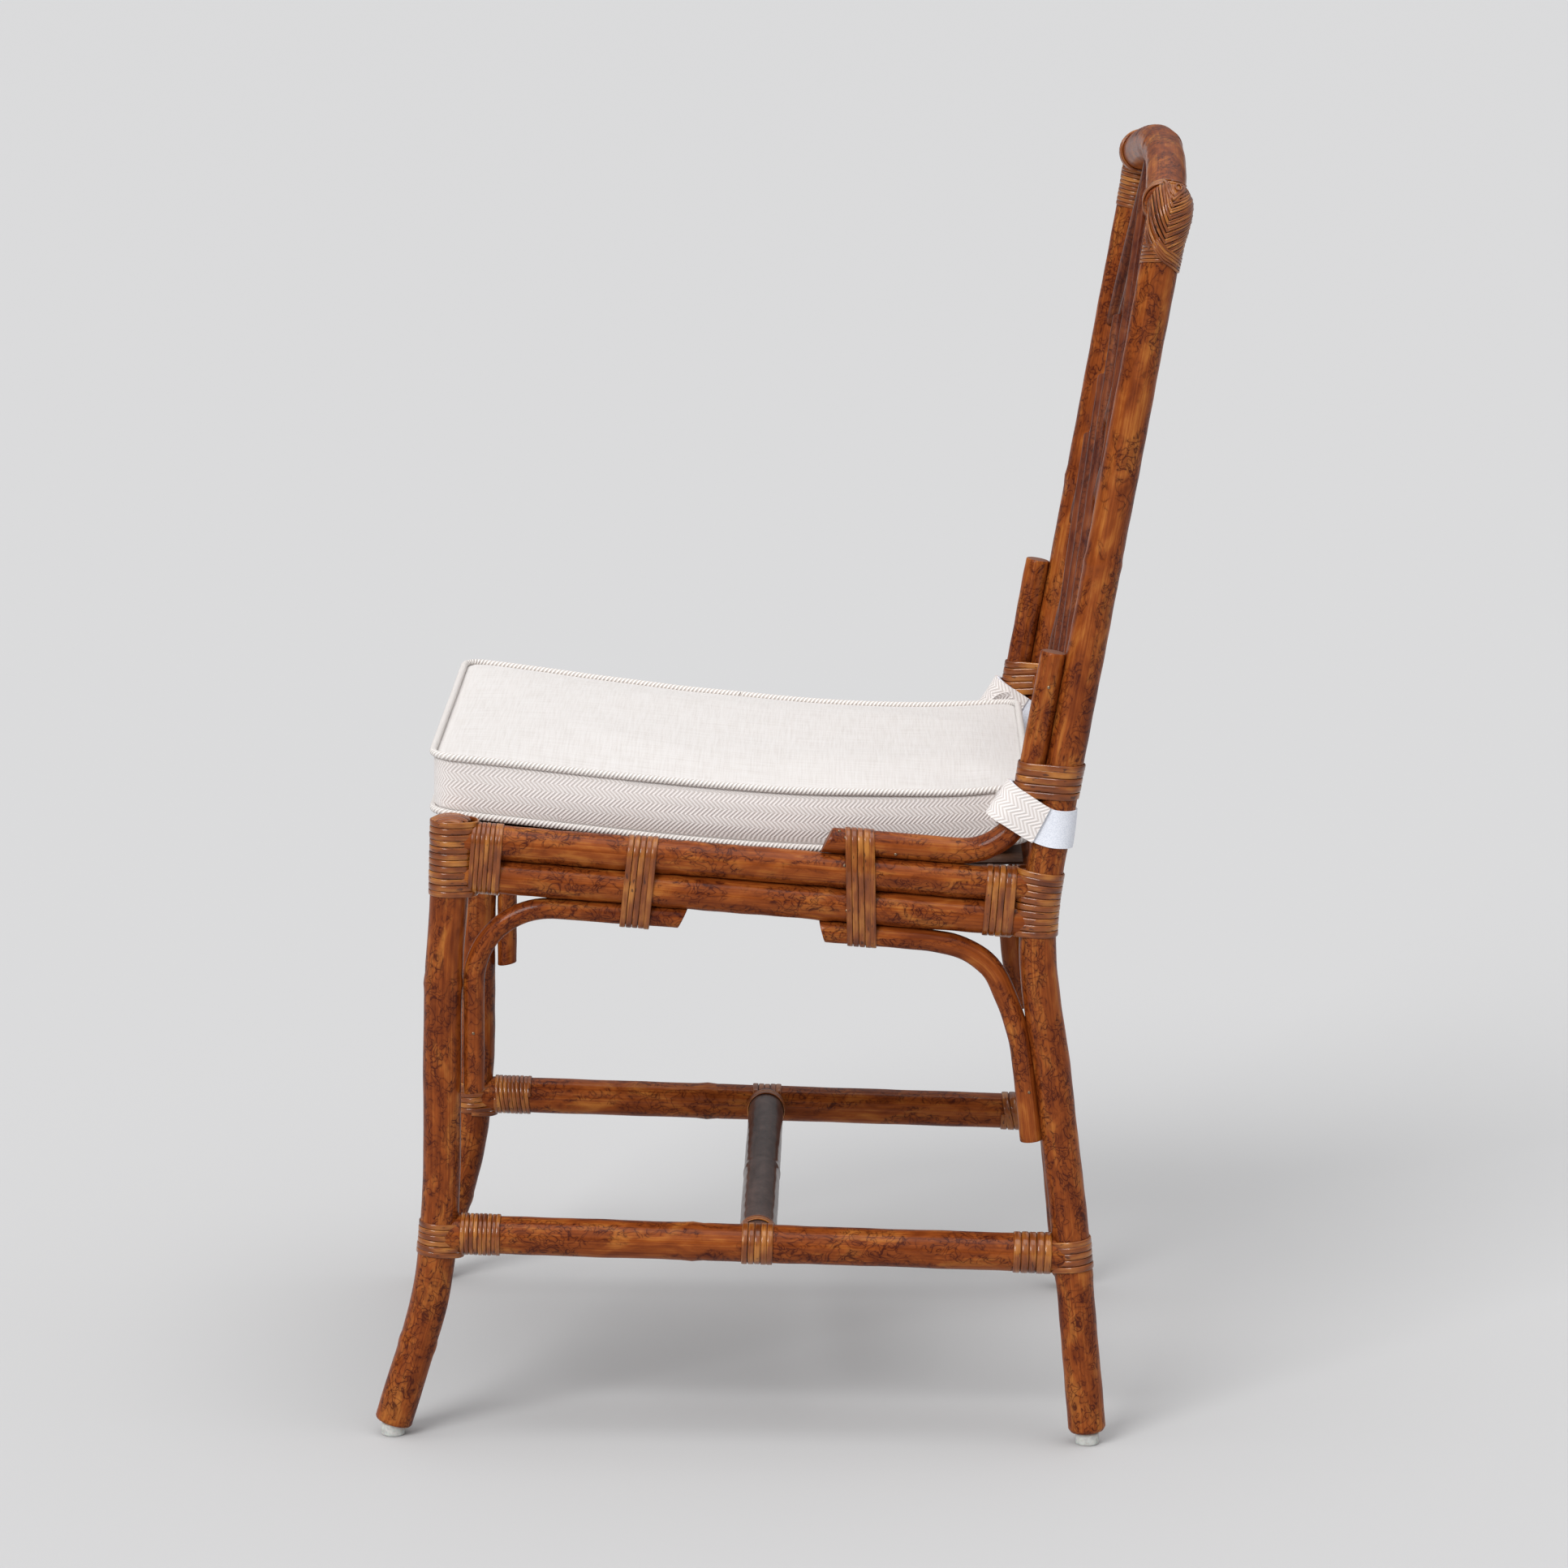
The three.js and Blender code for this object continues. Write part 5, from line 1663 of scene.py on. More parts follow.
@dataclass
class Knob:
    """The braided knob on the corner of a post and the crest rail: a fishtail, crossed ends and an eyelet.

    Its core is an elbow that climbs the post and turns along the crest. A place on it is named by its rise
    above the lower end and its angle from the outer face, positive to the rear.
    """

    bindings: Bindings
    foot_z: float = 851.5
    corner: float = 33.7
    turn: float = 12.0
    front_wide: tuple = ((0, 12.6), (20, 12.7), (29, 12.5), (37, 12.0), (45, 11.8), (62, 12.0))
    rear_wide: tuple = ((0, 12.7), (13, 13.1), (21, 13.6), (29, 15.0), (37, 16.6), (46, 17.0), (62, 16.0))
    deep: tuple = ((0, 12.8), (14, 14.4), (34, 15.6), (62, 15.0))
    shift: tuple = ((18, 0.0), (29, 0.6), (37, 1.4), (46, 2.0))
    rib: float = 4.3

    def __post_init__(self) -> None:
        """Find the post's top and the directions round it."""
        self.sign = self.bindings.sign
        post = self.bindings.frame.post
        self.front = unit(np.array((0.0, -math.cos(LEAN), math.sin(LEAN))))
        self.up = unit(np.array((0.0, math.sin(LEAN), math.cos(LEAN))))
        self.sideways = X * self.sign
        self.base = post.at(np.array([post.reach(self.foot_z)]))[0][0]

    def _laid(self, rise: float, bend: float, angle: float, lift: float) -> tuple[np.ndarray, np.ndarray]:
        """Find a place on the elbow.

        Args:
            rise: The height above its lower end.
            bend: How far it has turned towards the crest.
            angle: The angle from its outer face, positive to the rear.
            lift: How far the place stands off.

        Returns:
            The place and the outward direction.
        """
        c, s = math.cos(angle), math.sin(angle)
        wide = float(np.interp(rise, *zip(*(self.rear_wide if s > 0 else self.front_wide)))) + lift
        deep = float(np.interp(rise, *zip(*self.deep))) + lift
        outward = self.sideways * math.cos(bend) + self.up * math.sin(bend)
        hinge = self.base + self.up * min(rise, self.corner) - self.sideways * self.turn
        ahead = float(np.interp(rise, *zip(*self.shift)))
        place = hinge + outward * (self.turn + deep * c) + self.front * (ahead - wide * s)
        return place, unit(outward * (c * wide) - self.front * (s * deep))

    def _top(self, angle: float) -> float:
        """Return the rise at which the elbow's skin meets the crest."""
        return self.corner + self.turn + 15.0 * math.cos(angle)

    def _spot(self, rise: float, angle: float, lift: float) -> tuple[np.ndarray, np.ndarray]:
        """Return the place and the outward direction at a rise and an angle."""
        deep = float(np.interp(rise, *zip(*self.deep))) + lift
        reach = max(self.turn + deep * math.cos(angle), 1.0)
        bend = math.asin(min(max(rise - self.corner, 0.0) / reach, 1.0))
        angle += 0.06 * float(np.interp(rise, *zip(*self.shift))) * max(math.cos(angle), 0.0)
        return self._laid(rise, bend, angle, lift)

    def _run(self, name: str, rows: Iterable[tuple[float, float, float]], width: float, seed: int) -> Strand:
        """Return a strip through places given as rise, angle and lift."""
        places, outs = zip(*(self._spot(*row) for row in rows))
        return Strand(name, np.array(places), np.array(outs), width, 1.2, seed)

    def _core(self) -> bpy.types.Object:
        """Return the elbow that the strands lie on."""
        clear_selection()
        bpy.ops.mesh.primitive_uv_sphere_add(segments=40, ring_count=34, radius=1.0)
        obj = bpy.context.object
        places = coordinates(obj.data)
        mark = obj.data.attributes.new("cane", "FLOAT_VECTOR", "POINT")
        mark.data.foreach_set("vector", (places * 0.015).astype(np.float32).ravel())
        arc = self.turn * math.pi / 2
        laid = []
        for x, y, z in places:
            run = 6.5 + (z * 0.5 + 0.5) * (self.corner + arc + 0.5)
            bend = min(max(run - self.corner, 0.0), arc) / self.turn
            rise = min(run, self.corner)
            place, _ = self._laid(rise + 28 * math.sin(bend), bend, math.atan2(y, x), -0.9)
            outward = self.sideways * math.cos(bend) + self.up * math.sin(bend)
            middle = self.base + self.up * rise - self.sideways * self.turn + outward * self.turn
            along = -self.sideways * max(run - self.corner - arc, 0.0)
            laid.append(middle + (place - middle) * min(1.0, math.hypot(x, y) * 2.4) + along)
        move_vertices(obj.data, np.array(laid) * MM)
        obj.data.shade_smooth()
        turn_outwards(obj)
        return obj

    def build(self) -> None:
        """Make the knob and the ring on the crest's end."""
        crest = ChairBack().crest_track()
        at, over = (12.0, 15.4) if self.sign < 0 else (crest.length - 22.0, 14.7)
        turns = [
            Winding("under_ring", crest, [(crest, 14.3)], at, at + 10, 3, -Z, thick=1.6, seed=17),
            Winding("over_ring", crest, [(crest, over)], at + 1, at + 9, 2, -Z, seed=18),
        ]
        plaits = [*self._fishtail(), *self._crossing(), *self._eyelet()]
        strands = [*plaits, *self._inner_turns(), *self._shoulder()]
        parts = [self._core(), *turns_built(turns), *turns_built(strands)]
        # The core takes the second finish, the darkened peel that paints shade into the gaps between the
        # strands.
        number_faces(parts[0].data, 1)
        for part in parts:
            dress(part, Slot.PEEL, PEEL, PAINTED_SHADE_PEEL)
        self.bindings._finish("crest_binding", parts)

    def _inner_turns(self) -> list[Strand]:
        """Return the level strands that cross the knob's inner face, below the crest."""
        return [
            self._run("inner", [(2.4 + 3.3 * k, a, 0.95) for a in np.linspace(1.5, 4.78, 31)], 3.0, 140 + k)
            for k in range(9)
        ]

    def _shoulder(self) -> list[Strand]:
        """Return the strands that fan round the knob's rear shoulder, between the plaits and the ring."""
        rows: list[Strand] = []
        for k, bend in enumerate(np.linspace(0.3, 1.62, 11)):
            rise = self.corner + 28 * math.sin(bend)
            angles = np.linspace(1.25 - 1.1 * bend, 2.35, 24)
            fan = [self._laid(rise, bend, a, 0.3 + 0.25 * (k % 2)) for a in angles]
            places, outs = zip(*fan)
            shift = -self.sideways * (3.0 if k == 10 else 0.0)
            rows.append(Strand("shoulder", np.array(places) + shift, np.array(outs), 3.4, 1.2, 180 + k))
        return rows

    def _climb(self, foot: float, height: float, swing: float, haste: float, lift: float) -> list[tuple]:
        """Return places of a strand that climbs to the front, then straight up, until it meets the crest.

        Args:
            foot: The rise at which it leaves the outer face's middle.
            height: How far it climbs at most.
            swing: The angle that it nears.
            haste: How fast it turns to the front at its foot, in radians a millimetre.
            lift: How far it stands off.

        Returns:
            Its rises, angles and lifts.
        """
        line = []
        for h in np.arange(0.0, height, 1.0):
            angle = 0.05 - swing * (1 - math.exp(-haste * h / swing))
            if foot + h > self._top(angle) or angle < -2.2:
                break
            line.append((foot + h, angle, lift))
        return line

    def _fishtail(self) -> list[Strand]:
        """Return the two families of strands that meet in chevrons: the front steep, the rear flat."""
        rows: list[Strand] = []
        for k in range(12):
            foot = 49.5 - self.rib * k
            share = min(k / 9, 1.0)
            swing, haste = 0.3 + 0.14 * k + 0.025 * k**2, 0.044 + 0.036 * share**2
            line = self._climb(foot, 60.0, swing, haste, 0.75 + 0.25 * (k % 2))
            line = line[max(0, round(15.0 - 1.7 * foot)) :]
            if len(line) > 3:
                rows.append(self._run("front_plait", line, 2.0, 60 + k))
        for k in range(-4, 24):
            foot = 47.8 - self.rib * (k // 2) - 1.85 * (k % 2)
            line = []
            for angle in np.linspace(max(-0.05, (9.5 - foot) / 15, (foot - 49) / 9), 2.25, 30):
                rise = foot + 8.6 * min(angle, 1.35)
                if rise > self._top(angle):
                    break
                line.append((rise, angle, 0.8 + 0.2 * (k % 2)))
            if len(line) > 3:
                rows.append(self._run("rear_plait", line, 1.6, 100 + k))
        return rows

    def _crossing(self) -> list[Strand]:
        """Return the lower strands: near-level ones at the front, and a band that crosses them."""
        rows: list[Strand] = []
        for k in range(5):
            level = [(2.4 + 2.7 * k + 3.2 * (a + 1.7), a, 0.8) for a in np.linspace(-1.75, 0.0, 16)]
            rows.append(self._run("level", level, 2.3, 130 + k))
        for k in range(5):
            foot = 7.8 + 2.2 * k
            down = [(foot - 6.2 * min(a, 1.15), a, 1.4) for a in np.linspace(1.66, 0.12, 13)]
            climb = self._climb(foot, 11.0 - k, 4.0, 0.08, 1.5)
            falls = [(i / len(climb)) ** 2 for i in range(len(climb))]
            faded = [(rise, angle, lift - fall) for (rise, angle, lift), fall in zip(climb, falls)]
            rows.append(self._run("crossing", [*down, *faded], 1.9, 150 + k))
        return rows

    def _eyelet(self) -> list[Strand]:
        """Return the pointed loops near the knob's top and the small round eye inside them."""
        rises = (48.6, 52.6, 57.0, 60.0, 60.2, 57.6, 53.2, 48.6)
        angles = (0.03, -0.2, -0.3, -0.08, 0.26, 0.5, 0.3, 0.05)
        drop = np.column_stack([rises, angles])
        rows: list[Strand] = []
        for size, lift, width in ((1.0, 1.6, 1.8), (0.68, 1.5, 1.6)):
            ring = (drop - (56.6, 0.16)) * size + (58.2, 0.1)
            flat = Track._flowing(np.column_stack([ring, np.zeros(len(ring))]))
            rows.append(self._run("loop", [(r, a, lift) for r, a, _ in flat], width, 160 + int(size * 10)))
        turns = np.linspace(0, 2 * math.pi * 1.08, 25)
        eye = [(58.8 + 1.9 * math.sin(t), 0.16 + 0.128 * math.cos(t), 2.0) for t in turns]
        bed = [(rise, 0.08, 0.75) for rise in np.linspace(49.5, 61.0, 10)]
        return [*rows, self._run("eye", eye, 1.3, 170), self._run("eye_bed", bed, 7.0, 171)]


@dataclass
class SeatCushion:
    """The boxed seat cushion: crowned top, drawn-in sides, herringbone boxing and twisted cord welts."""

    front: float = SEAT_FRONT
    rear: float = SEAT_FRONT + SEAT_DEPTH
    front_half: float = 195.0
    rear_half: float = 169.0
    corner: float = 17.0
    crown: float = 6.0
    draw: float = 3.0
    swell: float = 5.0
    welt_radius: float = 2.6
    dents: int = 26
    across: int = 58
    along: int = 62
    rows: int = 7

    @staticmethod
    def base_at(y: np.ndarray) -> np.ndarray:
        """Return the height of the cushion's lower seam."""
        share = seat_share(y)
        return ((50.9 * share - 27.0) * share - 44.8) * share + 457.7

    @staticmethod
    def rim_at(y: np.ndarray) -> np.ndarray:
        """Return the height of the cushion's upper seam."""
        share = seat_share(y)
        return ((51.9 * share - 33.2) * share - 40.2) * share + 496.5

    def build(self) -> None:
        """Make the cushion, blow it up as cloth, and sew its cords on."""
        obj = self._box()
        square = coordinates(obj.data)
        rest = self._form(square)
        self._weave(obj.data, square, rest)
        move_vertices(obj.data, rest * MM)
        self._inflate(obj, square)
        only(obj)
        dent = self._dented(coordinates(obj.data))
        move_vertices(obj.data, dent)
        places = coordinates(obj.data) / MM
        modify(obj, "SUBSURF", levels=1, render_levels=1)
        obj.data.shade_smooth()
        obj.name = obj.data.name = "seat_cushion"
        dress(obj, Slot.COVER, SlubLinen(), HerringboneTwill())
        seat(obj, "cushion", "cushion")
        for name, level in (("upper", 1.0), ("lower", 0.0)):
            self._welt(name, level, square, places)

    def _box(self) -> bpy.types.Object:
        """Return a unit box of even squares, its sides in the boxing's slot."""
        clear_selection()
        bpy.ops.mesh.primitive_grid_add(x_subdivisions=self.across, y_subdivisions=self.along, size=2.0)
        obj = bpy.context.object
        bpy.ops.object.mode_set(mode="EDIT")
        bpy.ops.mesh.select_all(action="SELECT")
        bpy.ops.mesh.extrude_region_move(TRANSFORM_OT_translate={"value": (0, 0, 1)})
        bpy.ops.mesh.select_all(action="SELECT")
        bpy.ops.mesh.normals_make_consistent(inside=False)
        bpy.ops.object.mode_set(mode="OBJECT")
        pick_edges(obj.data, lambda a, b: np.abs(a[:, 2] - b[:, 2]) > 0.5)
        enter_edit("EDGE")
        bpy.ops.mesh.subdivide_edgering(number_cuts=self.rows - 1, interpolation="LINEAR", smoothness=0.0)
        bpy.ops.object.mode_set(mode="OBJECT")
        level = np.array([abs(p.normal[2]) < 0.5 for p in obj.data.polygons])
        obj.data.polygons.foreach_set("material_index", level.astype(np.int32))
        return obj

    def _form(self, square: np.ndarray) -> np.ndarray:
        """Carry the unit box onto the cushion's form.

        Args:
            square: The box's vertices, from -1 to 1 across and along and 0 to 1 up.

        Returns:
            The cushion's places.
        """
        u, v, w = square.T
        middle, half_length = (self.front + self.rear) / 2, (self.rear - self.front) / 2
        half_width = (self.front_half + self.rear_half) / 2
        flat = np.stack([u * half_width, v * half_length], axis=1)
        inner = np.array((half_width - self.corner, half_length - self.corner))
        ring = np.maximum(np.abs(u), np.abs(v))
        core = np.clip(flat, -inner * ring[:, None], inner * ring[:, None])
        over = flat - core
        size = np.abs(over).max(1)
        turned = unit(over + 1e-9) * size[:, None]
        both = (np.abs(over) > 1e-6).all(1)
        flat = np.where(both[:, None], core + turned, flat)
        edge = 1 - 4 * (w - 0.5) ** 2
        pull = self.draw * edge
        y = middle + flat[:, 1] * (1 - (pull * (1 - u**2)) / half_length)
        share = seat_share(y)
        half = self.front_half + (self.rear_half - self.front_half) * share
        x = flat[:, 0] / half_width * (half - pull * (1 - v**2))
        base, rim = self.base_at(y), self.rim_at(y)
        inside = (1 - ring**2) ** 0.6
        sink = np.where(w < 0.01, (base - SeatFrame.panel_at(y)) * inside, 0)
        z = base + (rim - base) * w + np.where(w > 0.99, self.crown * inside, 0) - sink
        return np.stack([x, y, z], axis=1)

    def _weave(self, mesh: bpy.types.Mesh, square: np.ndarray, rest: np.ndarray) -> None:
        """Map the cloth on the boxing: distance round the cushion and height up it, in metres.

        Args:
            mesh: The cushion's mesh.
            square: The unit box's vertices.
            rest: The cushion's places.
        """
        u, v = square[:, 0], square[:, 1]
        half_width, half_length = (self.front_half + self.rear_half) / 2, (self.rear - self.front) / 2
        side_y = half_length * (v + 1)
        run = np.where(
            u > 0.999,
            side_y,
            np.where(
                v < -0.999,
                -half_width * (1 - u),
                np.where(u < -0.999, -2 * half_width - side_y, 2 * half_length + half_width * (1 - u)),
            ),
        )
        up = rest[:, 2] - self.base_at(rest[:, 1])
        layer = mesh.uv_layers.new(name="weave")
        corners = np.empty(len(mesh.loops), np.int32)
        mesh.loops.foreach_get("vertex_index", corners)
        pairs = np.stack([run[corners], up[corners]], axis=1)
        around = 4 * half_width + 4 * half_length
        for poly in mesh.polygons:
            if poly.material_index == 1:
                rows = pairs[poly.loop_start : poly.loop_start + poly.loop_total]
                if np.ptp(rows[:, 0]) > around / 2:
                    rows[rows[:, 0] < 0, 0] += around
        layer.data.foreach_set("uv", (pairs * MM).astype(np.float32).ravel())

    def _inflate(self, obj: bpy.types.Object, square: np.ndarray) -> None:
        """Blow the cushion up as cloth that is held at its seams, and cap how far it swells.

        Args:
            obj: The cushion.
            square: The unit box's vertices.
        """
        only(obj)
        before = coordinates(obj.data)
        ring = np.maximum(np.abs(square[:, 0]), np.abs(square[:, 1]))
        seam = (ring > 0.999) & ((square[:, 2] < 0.01) | (square[:, 2] > 0.99))
        under = (square[:, 2] < 0.01) & (ring < 0.85)
        held = obj.vertex_groups.new(name="seams")
        held.add([int(i) for i in np.nonzero(seam | under)[0]], 1.0, "REPLACE")
        cloth = obj.modifiers.new("cloth", "CLOTH")
        settings = cloth.settings
        settings.vertex_group_mass = "seams"
        settings.quality = 6
        settings.mass = 0.3
        settings.tension_stiffness = settings.compression_stiffness = 12
        settings.bending_stiffness = 1.2
        settings.use_pressure = True
        settings.uniform_pressure_force = 4
        settings.effector_weights.gravity = 0
        cloth.collision_settings.use_collision = False
        cloth.point_cache.frame_start = 1
        cloth.point_cache.frame_end = 20
        scene = bpy.context.scene
        for number in range(1, 21):
            scene.frame_set(number)
        bpy.ops.object.modifier_apply(modifier="cloth")
        scene.frame_set(1)
        after = coordinates(obj.data)
        shift = after - before
        size = np.linalg.norm(shift, axis=1, keepdims=True)
        cap = self.swell * MM
        move_vertices(obj.data, before + shift * np.minimum(1.0, cap / np.maximum(size, 1e-9)))
        log.info("cushion swelled by at most %.1f mm before its cap", float(size.max()) / MM)

    def _dented(self, places: np.ndarray) -> np.ndarray:
        """Press in the soft dents that sitting leaves.

        Args:
            places: The cushion's places, in metres.

        Returns:
            The dented places.
        """
        out = places.copy()
        rng = np.random.default_rng(7)
        top = out[:, 2] > (self.rim_at(out[:, 1] / MM) - 1) * MM
        for _ in range(self.dents):
            x, y = rng.uniform(-0.17, 0.17), rng.uniform(-0.22, 0.15)
            reach = rng.uniform(0.02, 0.05)
            depth = rng.uniform(-0.0009, 0.0007)
            gap = np.hypot(out[:, 0] - x, out[:, 1] - y)
            out[top, 2] += (depth * np.exp(-((gap / reach) ** 2)))[top]
        gap = np.hypot(out[:, 0] - 0.13, (out[:, 1] - 0.135) * 1.4)
        out[top, 2] -= (0.0035 * np.exp(-((gap / 0.03) ** 2)))[top]
        return out

    def _welt(self, name: str, level: float, square: np.ndarray, places: np.ndarray) -> None:
        """Sew a cord along one seam.

        Args:
            name: Which seam.
            level: The seam's height in the unit box.
            square: The unit box's vertices.
            places: The cushion's places.
        """
        ring = np.maximum(np.abs(square[:, 0]), np.abs(square[:, 1]))
        seam = np.nonzero((ring > 0.999) & (np.abs(square[:, 2] - level) < 0.01))[0]
        spots = places[seam]
        middle = np.array((0, (self.front + self.rear) / 2, 0))
        order = np.argsort(np.arctan2(spots[:, 1] - middle[1], spots[:, 0]))
        line = spots[order]
        ahead = np.roll(line, -1, axis=0) - np.roll(line, 1, axis=0)
        out = unit(np.stack([ahead[:, 1], -ahead[:, 0], np.zeros(len(line))], axis=1))
        line = line + out * 0.6 + Z * (0.9 if level > 0.5 else -0.9)
        closed = np.vstack([line, line[:1]])
        track = Track(closed, np.vstack([out, out[:1]]), closed=True)
        rod = Rod(
            f"cushion_welt_{name}",
            track,
            self.welt_radius,
            sides=14,
            step=2.5,
            rim=0.0,
            end=track.length,
            seed=0,
        ).build()
        log.info("welt %s runs %.0f mm", name, track.length)
        number_faces(rod.data, 0)
        turn_outwards(rod)
        dress(rod, Slot.COVER, TwistedCord())
        seat(rod, "cushion")


@dataclass
class CushionStrap:
    """A hook-and-loop strap that ties one rear corner of the cushion to the post and the back brace."""

    frame: SideFrame
    width: float = 27.0
    tail_width: float = 22.0
    thick: float = 2.0
    post_radius: float = 14.6
    brace_radius: float = 11.5
    brace_gap: float = 26.5
    middle: float = 455.6
    steep: float = 0.63
    level: float = 0.09
    knee: float = 5.5

    def _height(self, y: np.ndarray) -> np.ndarray:
        """Return the height of the strap's middle line, which falls to the post and runs round it level."""
        off = y - (post_y(self.middle) - self.knee)
        bend = 3.0 * np.logaddexp(0.0, off / 3.0)
        return self.middle - self.steep * off + (self.steep - self.level) * bend

    def build(self) -> None:
        """Make the loop in two cloths, and its tail."""
        sign = SIDES[self.frame.side]
        loop, out = self._loop(sign)
        run = distances(loop)
        parts = []
        for name, start, end, lift, width in (
            ("tape", 0.0, run[-1] * 0.985, 0.0, self.width),
            ("twill", run[-1] * 0.335, run[-1] * 0.86, 1.9, self.width + 1.0),
        ):
            inside = (run >= start) & (run <= end)
            parts.append(self._band(name, loop[inside] + out[inside] * lift, out[inside], width))
        tape, twill = parts
        for part in parts:
            dress(part, Slot.STRAP, HookTape(), STRAP_TWILL)
        number_faces(twill.data, 1)
        obj = merged(f"strap_{self.frame.side}_loop", [tape, twill])
        seat(obj, "frame", f"strap_{self.frame.side}")
        self._tail(sign)

    def _loop(self, sign: int) -> tuple[np.ndarray, np.ndarray]:
        """Find the strap's line round the post and the brace.

        Args:
            sign: The side's sign.

        Returns:
            The line's places and outward directions, from the inner rear round the outside.
        """
        x = self.frame.x
        brace_y = post_y(self.middle) - self.brace_gap
        rows = []
        for y, radius in ((post_y(self.middle), self.post_radius), (brace_y, self.brace_radius)):
            for angle in np.linspace(0, 2 * math.pi, 72, endpoint=False):
                rows.append((y + radius * math.cos(angle), radius * math.sin(angle)))
        seam = np.array((post_y(self.middle) + 6, -self.post_radius))
        spots = taut_line(rows, lambda ring: -((ring - seam) ** 2).sum(1), np.linspace(0, 1, 97))
        ahead = np.gradient(spots, axis=0)
        normal = unit(np.stack([ahead[:, 1], -ahead[:, 0]], axis=1))
        places = np.stack([x + sign * spots[:, 1], spots[:, 0], self._height(spots[:, 0])], axis=1)
        out = np.stack([sign * normal[:, 1], normal[:, 0], np.zeros(len(spots))], axis=1)
        return places, out

    def _band(
        self, name: str, places: np.ndarray, out: np.ndarray, width: float, tilted: bool = True
    ) -> bpy.types.Object:
        """Make a flat band along a line.

        Args:
            name: The band's name.
            places: Its line.
            out: The line's outward directions.
            width: Its width.
            tilted: Whether its folds lie along the brace and the post.

        Returns:
            The band, with its cloth mapped.
        """
        run = distances(places)
        count = max(12, int(run[-1] / 1.5))
        clear_selection()
        bpy.ops.mesh.primitive_grid_add(x_subdivisions=count, y_subdivisions=10, size=2.0)
        obj = bpy.context.object
        obj.name = name
        mesh = obj.data
        square = coordinates(mesh)
        at = (square[:, 0] + 1) / 2 * run[-1]
        where = np.stack([np.interp(at, run, places[:, i]) for i in range(3)], axis=1)
        normal = unit(np.stack([np.interp(at, run, out[:, i]) for i in range(3)], axis=1))
        ahead = unit(np.stack([np.interp(at, run, np.gradient(places[:, i])) for i in range(3)], axis=1))
        across = np.cross(normal, ahead)
        across *= np.sign(across[:, 2:])
        if tilted:
            off = where[:, 1] - (post_y(self.middle) - self.knee)
            tilt = 0.12 + (self.steep - 0.12) / (1 + np.exp(off / 3.0))
            across = np.stack([np.zeros(len(off)), tilt, np.ones(len(off))], axis=1)
        side = square[:, 1] * width / 2
        sag = 0.5 * np.sin(at * 0.11 + side * 0.09)
        laid = where + unit(across) * side[:, None] + normal * sag[:, None]
        layer = mesh.uv_layers.new(name="weave")
        corners = np.empty(len(mesh.loops), np.int32)
        mesh.loops.foreach_get("vertex_index", corners)
        pairs = np.stack([at, side + width], axis=1)[corners]
        layer.data.foreach_set("uv", (pairs * MM).astype(np.float32).ravel())
        move_vertices(mesh, laid * MM)
        modify(obj, "SOLIDIFY", thickness=self.thick * MM, offset=0)
        turn_outwards(obj)
        bpy.ops.object.shade_smooth_by_angle(angle=math.radians(50))
        return obj

    def _tail(self, sign: int) -> None:
        """Make the short tail from the loop's inner side to the cushion's corner.

        Args:
            sign: The side's sign.
        """
        x = self.frame.x
        y = post_y(self.middle) - 27
        rows = np.array(
            [
                (x - sign * 12.5, y + 8, 468.0),
                (x - sign * 17, y - 2, 467.0),
                (x - sign * 27, y - 9, 464.0),
                (x - sign * 38, y - 12, 461.0),
                (x - sign * 46, y - 17, 459.0),
            ]
        )
        dense = Track._flowing(rows)
        along = unit(np.gradient(dense, axis=0))
        out = unit(np.cross(along, Z) * sign)
        obj = self._band(f"strap_{self.frame.side}_tail", dense, out, self.tail_width, tilted=False)
        dress(obj, Slot.STRAP, STRAP_TWILL)
        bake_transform(obj)
        log.info("%s bends between frame and cushion", obj.name)


@dataclass
class Brads:
    """The small nail heads that pin the braces and the rails."""

    frame: SideFrame
    radius: float = 1.15

    def build(self) -> None:
        """Make every head of the side as one piece."""
        sign = SIDES[self.frame.side]
        x = self.frame.x
        rows = [
            (44, 450, 5.0),
            (48.5, 446, 8.3),
            (84, 434.5, 8.0),
            (48, 426.4, 10.8),
            (50, 394, 12.2),
            (post_y(556) - 22, 556, 9.0),
            (-215.3, 300, 7.3),
            (181.5, 262, 7.6),
        ]
        heads = []
        for y, z, off in rows:
            clear_selection()
            bpy.ops.mesh.primitive_uv_sphere_add(segments=14, ring_count=8, radius=self.radius * MM)
            head = bpy.context.object
            places = coordinates(head.data)
            places[:, 0] *= 0.45
            places += np.array((x + sign * off, y, z)) * MM
            move_vertices(head.data, places)
            head.data.shade_smooth()
            heads.append(head)
        obj = merged(f"brads_{self.frame.side}", heads)
        dress(obj, Slot.RATTAN, SteelBrad())
        seat(obj, "frame")


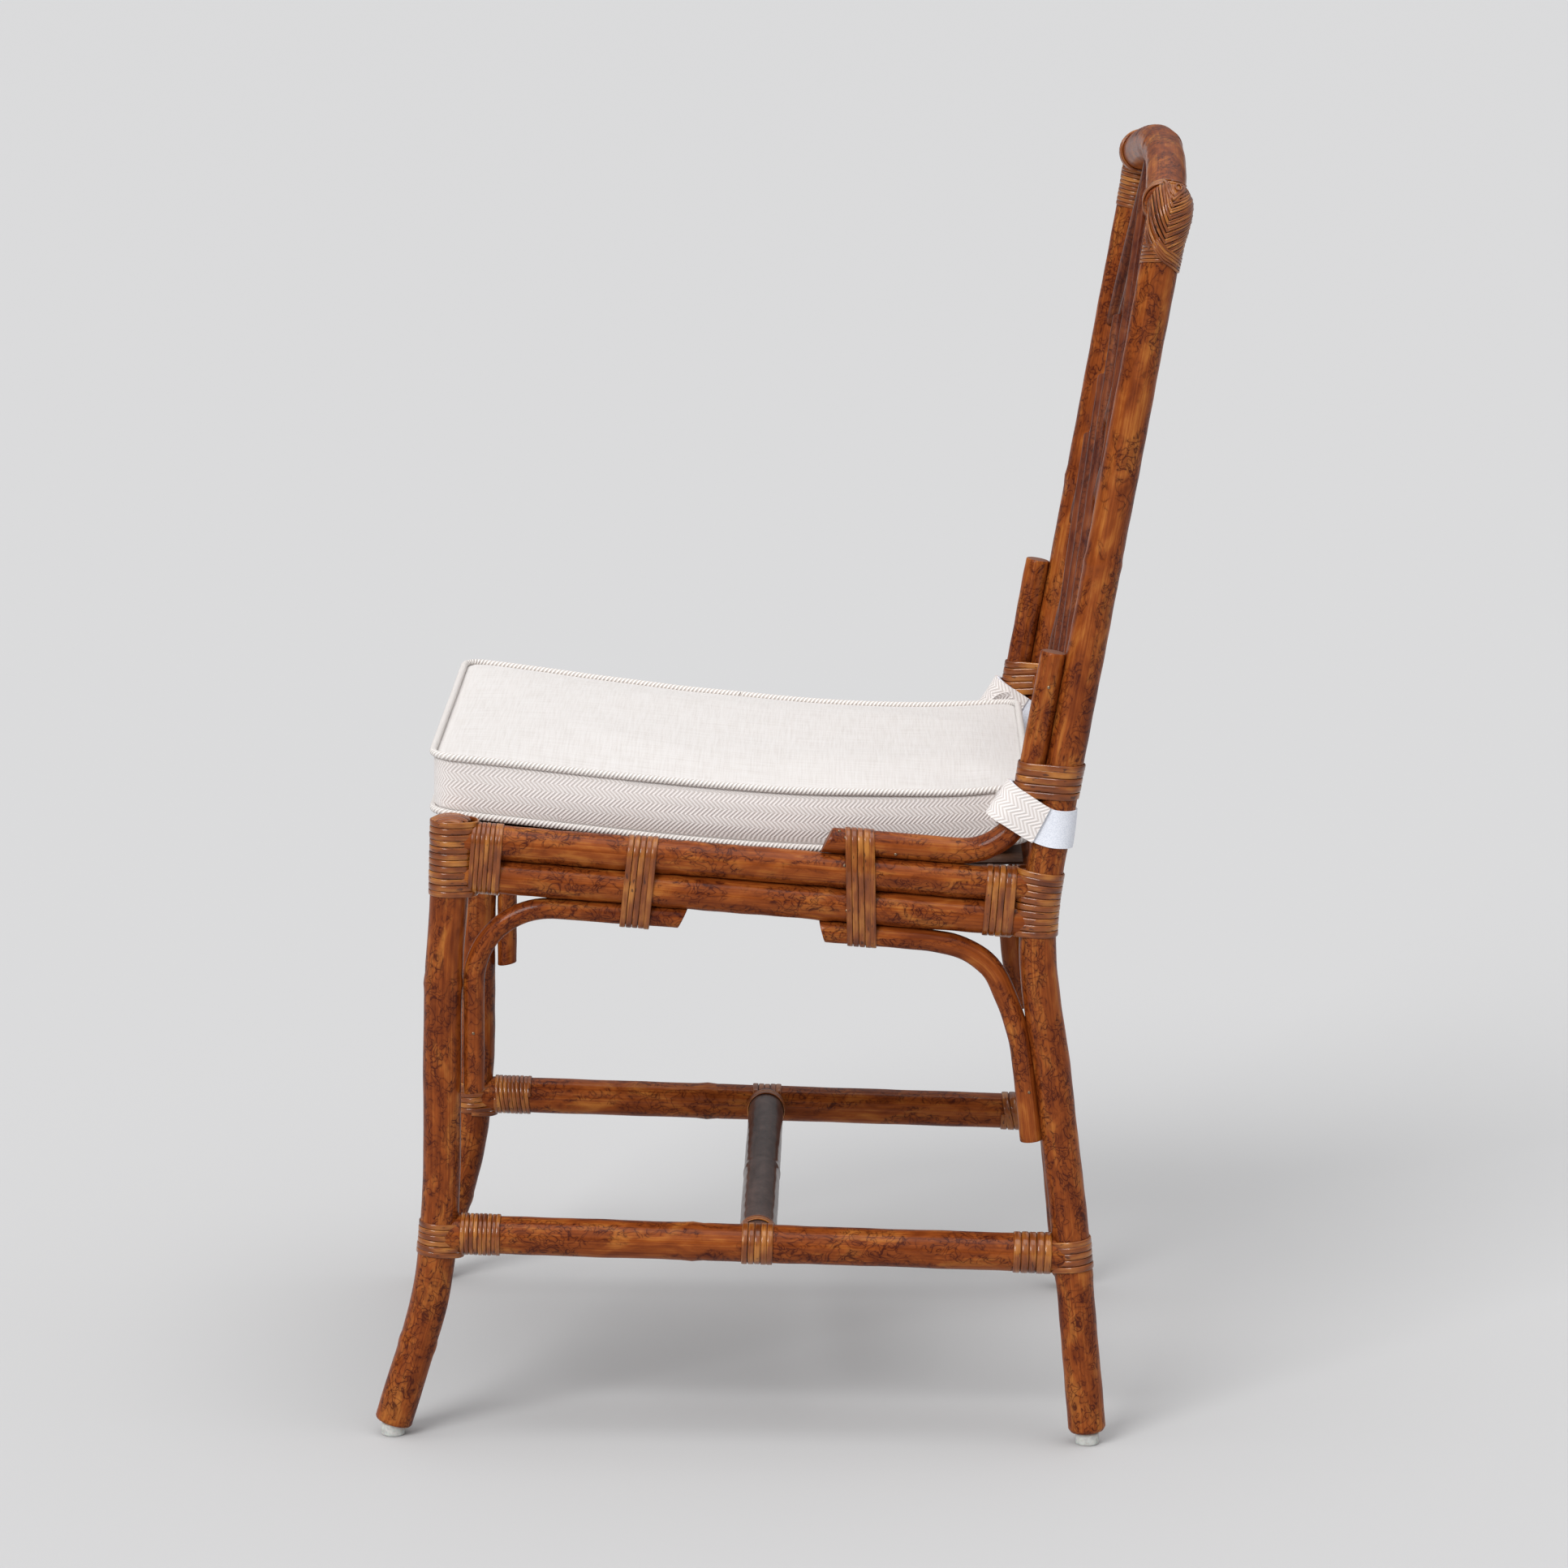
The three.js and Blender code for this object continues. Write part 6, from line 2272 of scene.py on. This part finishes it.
@dataclass
class Studio:
    """The plain pale floor, the soft lights and the camera at the photograph's viewing angle."""

    eye: tuple = (4.5423, 0.0535, 1.3297)
    yaw: float = math.radians(-0.65)
    pitch: float = math.radians(11.06)
    roll: float = math.radians(0.59)
    lens: float = 143.13

    def build(self) -> None:
        """Set the camera, the floor, the world and the lights."""
        self._camera()
        clear_selection()
        bpy.ops.mesh.primitive_plane_add(size=80.0, location=(0, 0, 0))
        floor = bpy.context.object
        floor.name = "studio_floor"
        floor.data.materials.append(StudioPaper().material())
        self._air()
        self._sun("key_light", (0.72, -0.42, 0.56), 1.9, 26)
        self._sun("top_light", (0.15, 0.1, 1.0), 0.95, 46)
        bpy.context.scene.view_settings.view_transform = "Standard"

    def _camera(self) -> None:
        """Set the long lens where the photograph was taken from."""
        cy, sy, cp, sp = math.cos(self.yaw), math.sin(self.yaw), math.cos(self.pitch), math.sin(self.pitch)
        ahead = Vector((-cy * cp, sy * cp, -sp))
        right = Vector((sy, cy, 0.0))
        up = right.cross(ahead)
        c, s = math.cos(self.roll), math.sin(self.roll)
        right, up = c * right + s * up, -s * right + c * up
        data = bpy.data.cameras.new("studio_camera")
        data.lens = self.lens
        data.sensor_fit = "HORIZONTAL"
        data.sensor_width = 36.0
        data.clip_end = 200.0
        camera = bpy.data.objects.new("studio_camera", data)
        bpy.context.scene.collection.objects.link(camera)
        turn = Matrix((right, up, -ahead)).transposed().to_4x4()
        camera.matrix_world = Matrix.Translation(Vector(self.eye)) @ turn
        bpy.context.scene.camera = camera

    def _air(self) -> None:
        """Light the studio from all round, brighter above than at the horizon."""
        world = bpy.data.worlds.new("studio_air")
        world.use_nodes = True
        tree = world.node_tree
        place = add(tree, "TexCoord").outputs["Generated"]
        rise = add(tree, "SeparateXYZ", place).outputs["Z"]
        glow = add(tree, "MapRange", rise, 0.05, 0.75, 0.16, 0.8, interpolation_type="SMOOTHSTEP")
        tree.links.new(glow.outputs[0], tree.nodes["Background"].inputs["Strength"])
        tree.nodes["Background"].inputs["Color"].default_value = linear("#fdfdff")
        bpy.context.scene.world = world

    def _sun(self, name: str, way: Sequence[float], power: float, spread: float) -> None:
        """Hang one large far softbox, which lights the floor evenly.

        Args:
            name: Its name.
            way: The direction that it shines from.
            power: Its strength in watts a square metre.
            spread: How wide it looks, in degrees.
        """
        data = bpy.data.lights.new(name, "SUN")
        data.energy = power
        data.angle = math.radians(spread)
        lamp = bpy.data.objects.new(name, data)
        bpy.context.scene.collection.objects.link(lamp)
        lamp.rotation_euler = (-Vector(way)).to_track_quat("-Z", "Y").to_euler()


def main() -> None:
    """Build the chair in order: studio, poles, bindings, cushion and straps."""
    logging.basicConfig(level=logging.INFO, format="%(name)s: %(message)s")
    Studio().build()
    for name in SIDES:
        side = SideFrame(name)
        side.build()
        Bindings(side).build()
        CushionStrap(side).build()
        Brads(side).build()
    SeatFrame().build()
    ChairBack().build()
    SeatCushion().build()


if __name__ == "__main__":
    main()
